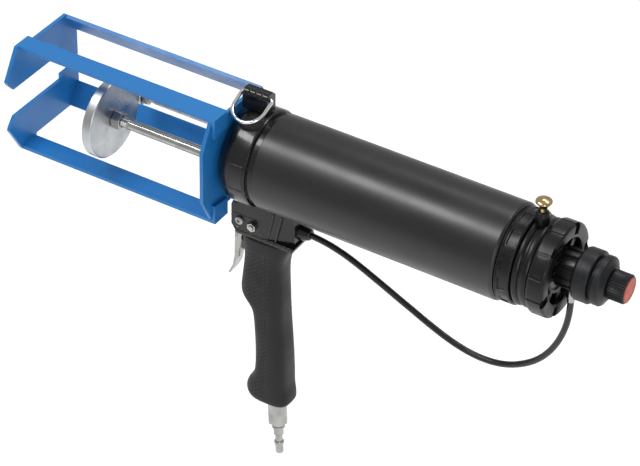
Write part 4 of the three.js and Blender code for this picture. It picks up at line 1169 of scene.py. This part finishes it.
def inlet_hexagon():
    """The adapter with its hexagon's top raised to the grip's foot."""
    bm = copied("inlet_adapter")
    down = Vector((math.cos(INLET_SWING), 0, -math.sin(INLET_SWING)))
    start = Vector((INLET_X, 0, reach("grip", 2)[0])) * MM
    for vert in bm.verts:
        along = (vert.co - start).dot(down)
        away = (vert.co - start - along * down).length
        if along < HEXAGON_TOP * MM and away > 6 * MM:
            vert.co -= HEXAGON_RISE * MM * down
    return piece_from("inlet_hexagon", bm, "inlet_adapter", ZINC, 0.3, 2)


inlet_plug()
inlet_hexagon()

# %% [markdown]
# ## The air hose
# A 5 mm hose leaves the head, sags under the cylinder and rises to the regulator. It is held
# at both ends and hangs between them, so it is one smooth curve through chosen points.

# %% Air hose
HOSE_ROUTE = [
    (65.6, -57), (72, -57.5), (82, -58.8), (93.9, -61.6), (104.5, -65.2), (115.5, -69.8),
    (126, -74.6), (137.1, -79.8), (148, -85), (158.6, -89.9), (169.5, -95.1), (180, -99.7),
    (190.5, -103.8), (201.2, -107), (212, -109), (222.5, -109.5), (232.8, -108.4),
    (242.5, -105.6), (251.5, -101.2), (260, -95.4), (267.5, -88.4), (274, -80), (279.3, -70.6),
    (283.4, -60.6), (286.3, -50.5), (287.9, -41), (288.6, -32), (288.8, -25.2)]
HOSE_DIAMETER = 5


def air_hose():
    curve = bpy.data.curves.new("hose_line", "CURVE")
    curve.dimensions = "3D"
    curve.bevel_depth = HOSE_DIAMETER / 2 * MM
    curve.bevel_resolution = 6
    curve.use_fill_caps = True
    spline = curve.splines.new("BEZIER")
    spline.bezier_points.add(len(HOSE_ROUTE) - 1)
    spline.resolution_u = 6
    for point, (x, z) in zip(spline.bezier_points, HOSE_ROUTE):
        point.co = (x * MM, 0, z * MM)
        point.handle_left_type = point.handle_right_type = "AUTO"
    curve.materials.append(HOSE_PLASTIC)
    hose = bpy.data.objects.new("hose_line", curve)
    bpy.context.collection.objects.link(hose)
    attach(hose, "frame")
    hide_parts("air_hose")


air_hose()

# %% [markdown]
# ## Hose fittings
# A brass barb leaves the head, and a small plated sleeve holds the hose under the regulator.

# %% Hose fittings
def hose_fittings():
    front, back = reach("handle_hose_fitting", 0)
    z = centre_of("handle_hose_fitting", 2)
    bm = spun([
        (front, 0), (front, 2.5), (front + 6.3, 2.5), (front + 6.3, 3.8), (front + 6.6, 4),
        (front + 9, 4), (front + 9.4, 3), (back - 0.3, 3), (back, 2.7), (back, 0)], 48, z=z)
    piece_from("head_fitting", bm, "handle_hose_fitting", BRASS, 0.1, 1)
    low, high = reach("regulator_hose_fitting", 2)
    x = centre_of("regulator_hose_fitting", 0)
    bm = spun([
        (low, 0), (low, 2.7), (low + 0.3, 3), (low + 3.6, 3), (low + 3.9, 3.9), (high - 4.2, 3.9),
        (high - 4, 3.7), (high - 4, 1.9), (high, 1.9), (high, 0)], 48)
    piece_from("regulator_fitting", along_z(bm, x), "regulator_hose_fitting", ZINC, 0.1, 1)


hose_fittings()

# %% [markdown]
# ## The hang ring and its lug
# The lug on top of the casting has four knuckles, like a hinge, and a chromed D-shaped ring
# swings in them. The ring is one closed curve: a bar, two corners, two legs and an arc.

# %% Hang ring and lug
KNUCKLES = 4
RING_WIRE = 1.5
RING_HALF = 13.3
RING_DEPTH = 25
RING_ANGLE = math.radians(25)
BAR_Y, BAR_Z = 2, 52


def ring_outline():
    corner = 2.2
    arc_y = RING_HALF - RING_DEPTH
    outline = [(-RING_HALF + corner, 0), (0, 0), (RING_HALF - corner, 0)]
    for step in range(1, 6):
        turn = math.radians(90 - 18 * step)
        outline.append((
            RING_HALF - corner + corner * math.cos(turn), -corner + corner * math.sin(turn)))
    for step in range(33):
        turn = -math.pi * step / 32
        outline.append((RING_HALF * math.cos(turn), arc_y + RING_HALF * math.sin(turn)))
    for step in range(0, 5):
        turn = math.radians(180 - 18 * step)
        outline.append((
            -RING_HALF + corner + corner * math.cos(turn), -corner + corner * math.sin(turn)))
    return outline


def chrome_ring():
    curve = bpy.data.curves.new("chrome_ring", "CURVE")
    curve.dimensions = "3D"
    curve.bevel_depth = RING_WIRE * MM
    curve.bevel_resolution = 6
    outline = ring_outline()
    spline = curve.splines.new("POLY")
    spline.points.add(len(outline) - 1)
    spline.use_cyclic_u = True
    middle = centre_of("hang_lug", 0)
    for point, (across, down) in zip(spline.points, outline):
        y = BAR_Y + down * math.cos(RING_ANGLE)
        z = BAR_Z + down * math.sin(RING_ANGLE)
        point.co = ((middle + across) * MM, y * MM, z * MM, 1)
    curve.materials.append(CHROME)
    ring = bpy.data.objects.new("chrome_ring", curve)
    bpy.context.collection.objects.link(ring)
    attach(ring, "hang_ring")
    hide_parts("hang_ring")


def lug_knuckles():
    front, back = reach("hang_lug", 0)
    length = (back - front) / KNUCKLES
    profile = [(front, 1.9)]
    for count in range(KNUCKLES):
        start, end = front + count * length, front + (count + 1) * length
        profile += [(start + 0.3, 2.8), (start + 0.4, 3.9), (start + 0.8, 4.3), (end - 0.8, 4.3),
                    (end - 0.4, 3.9), (end - 0.3, 2.8)]
    profile += [(back, 1.9)]
    bm = spun(profile, 48, closed=True, y=BAR_Y, z=BAR_Z)
    piece_from("lug_knuckles", bm, "hang_lug", GLOSS_BLACK, replaces=False)


chrome_ring()
lug_knuckles()
rounded_copy("hang_lug", GLOSS_BLACK, 0.8, 3)
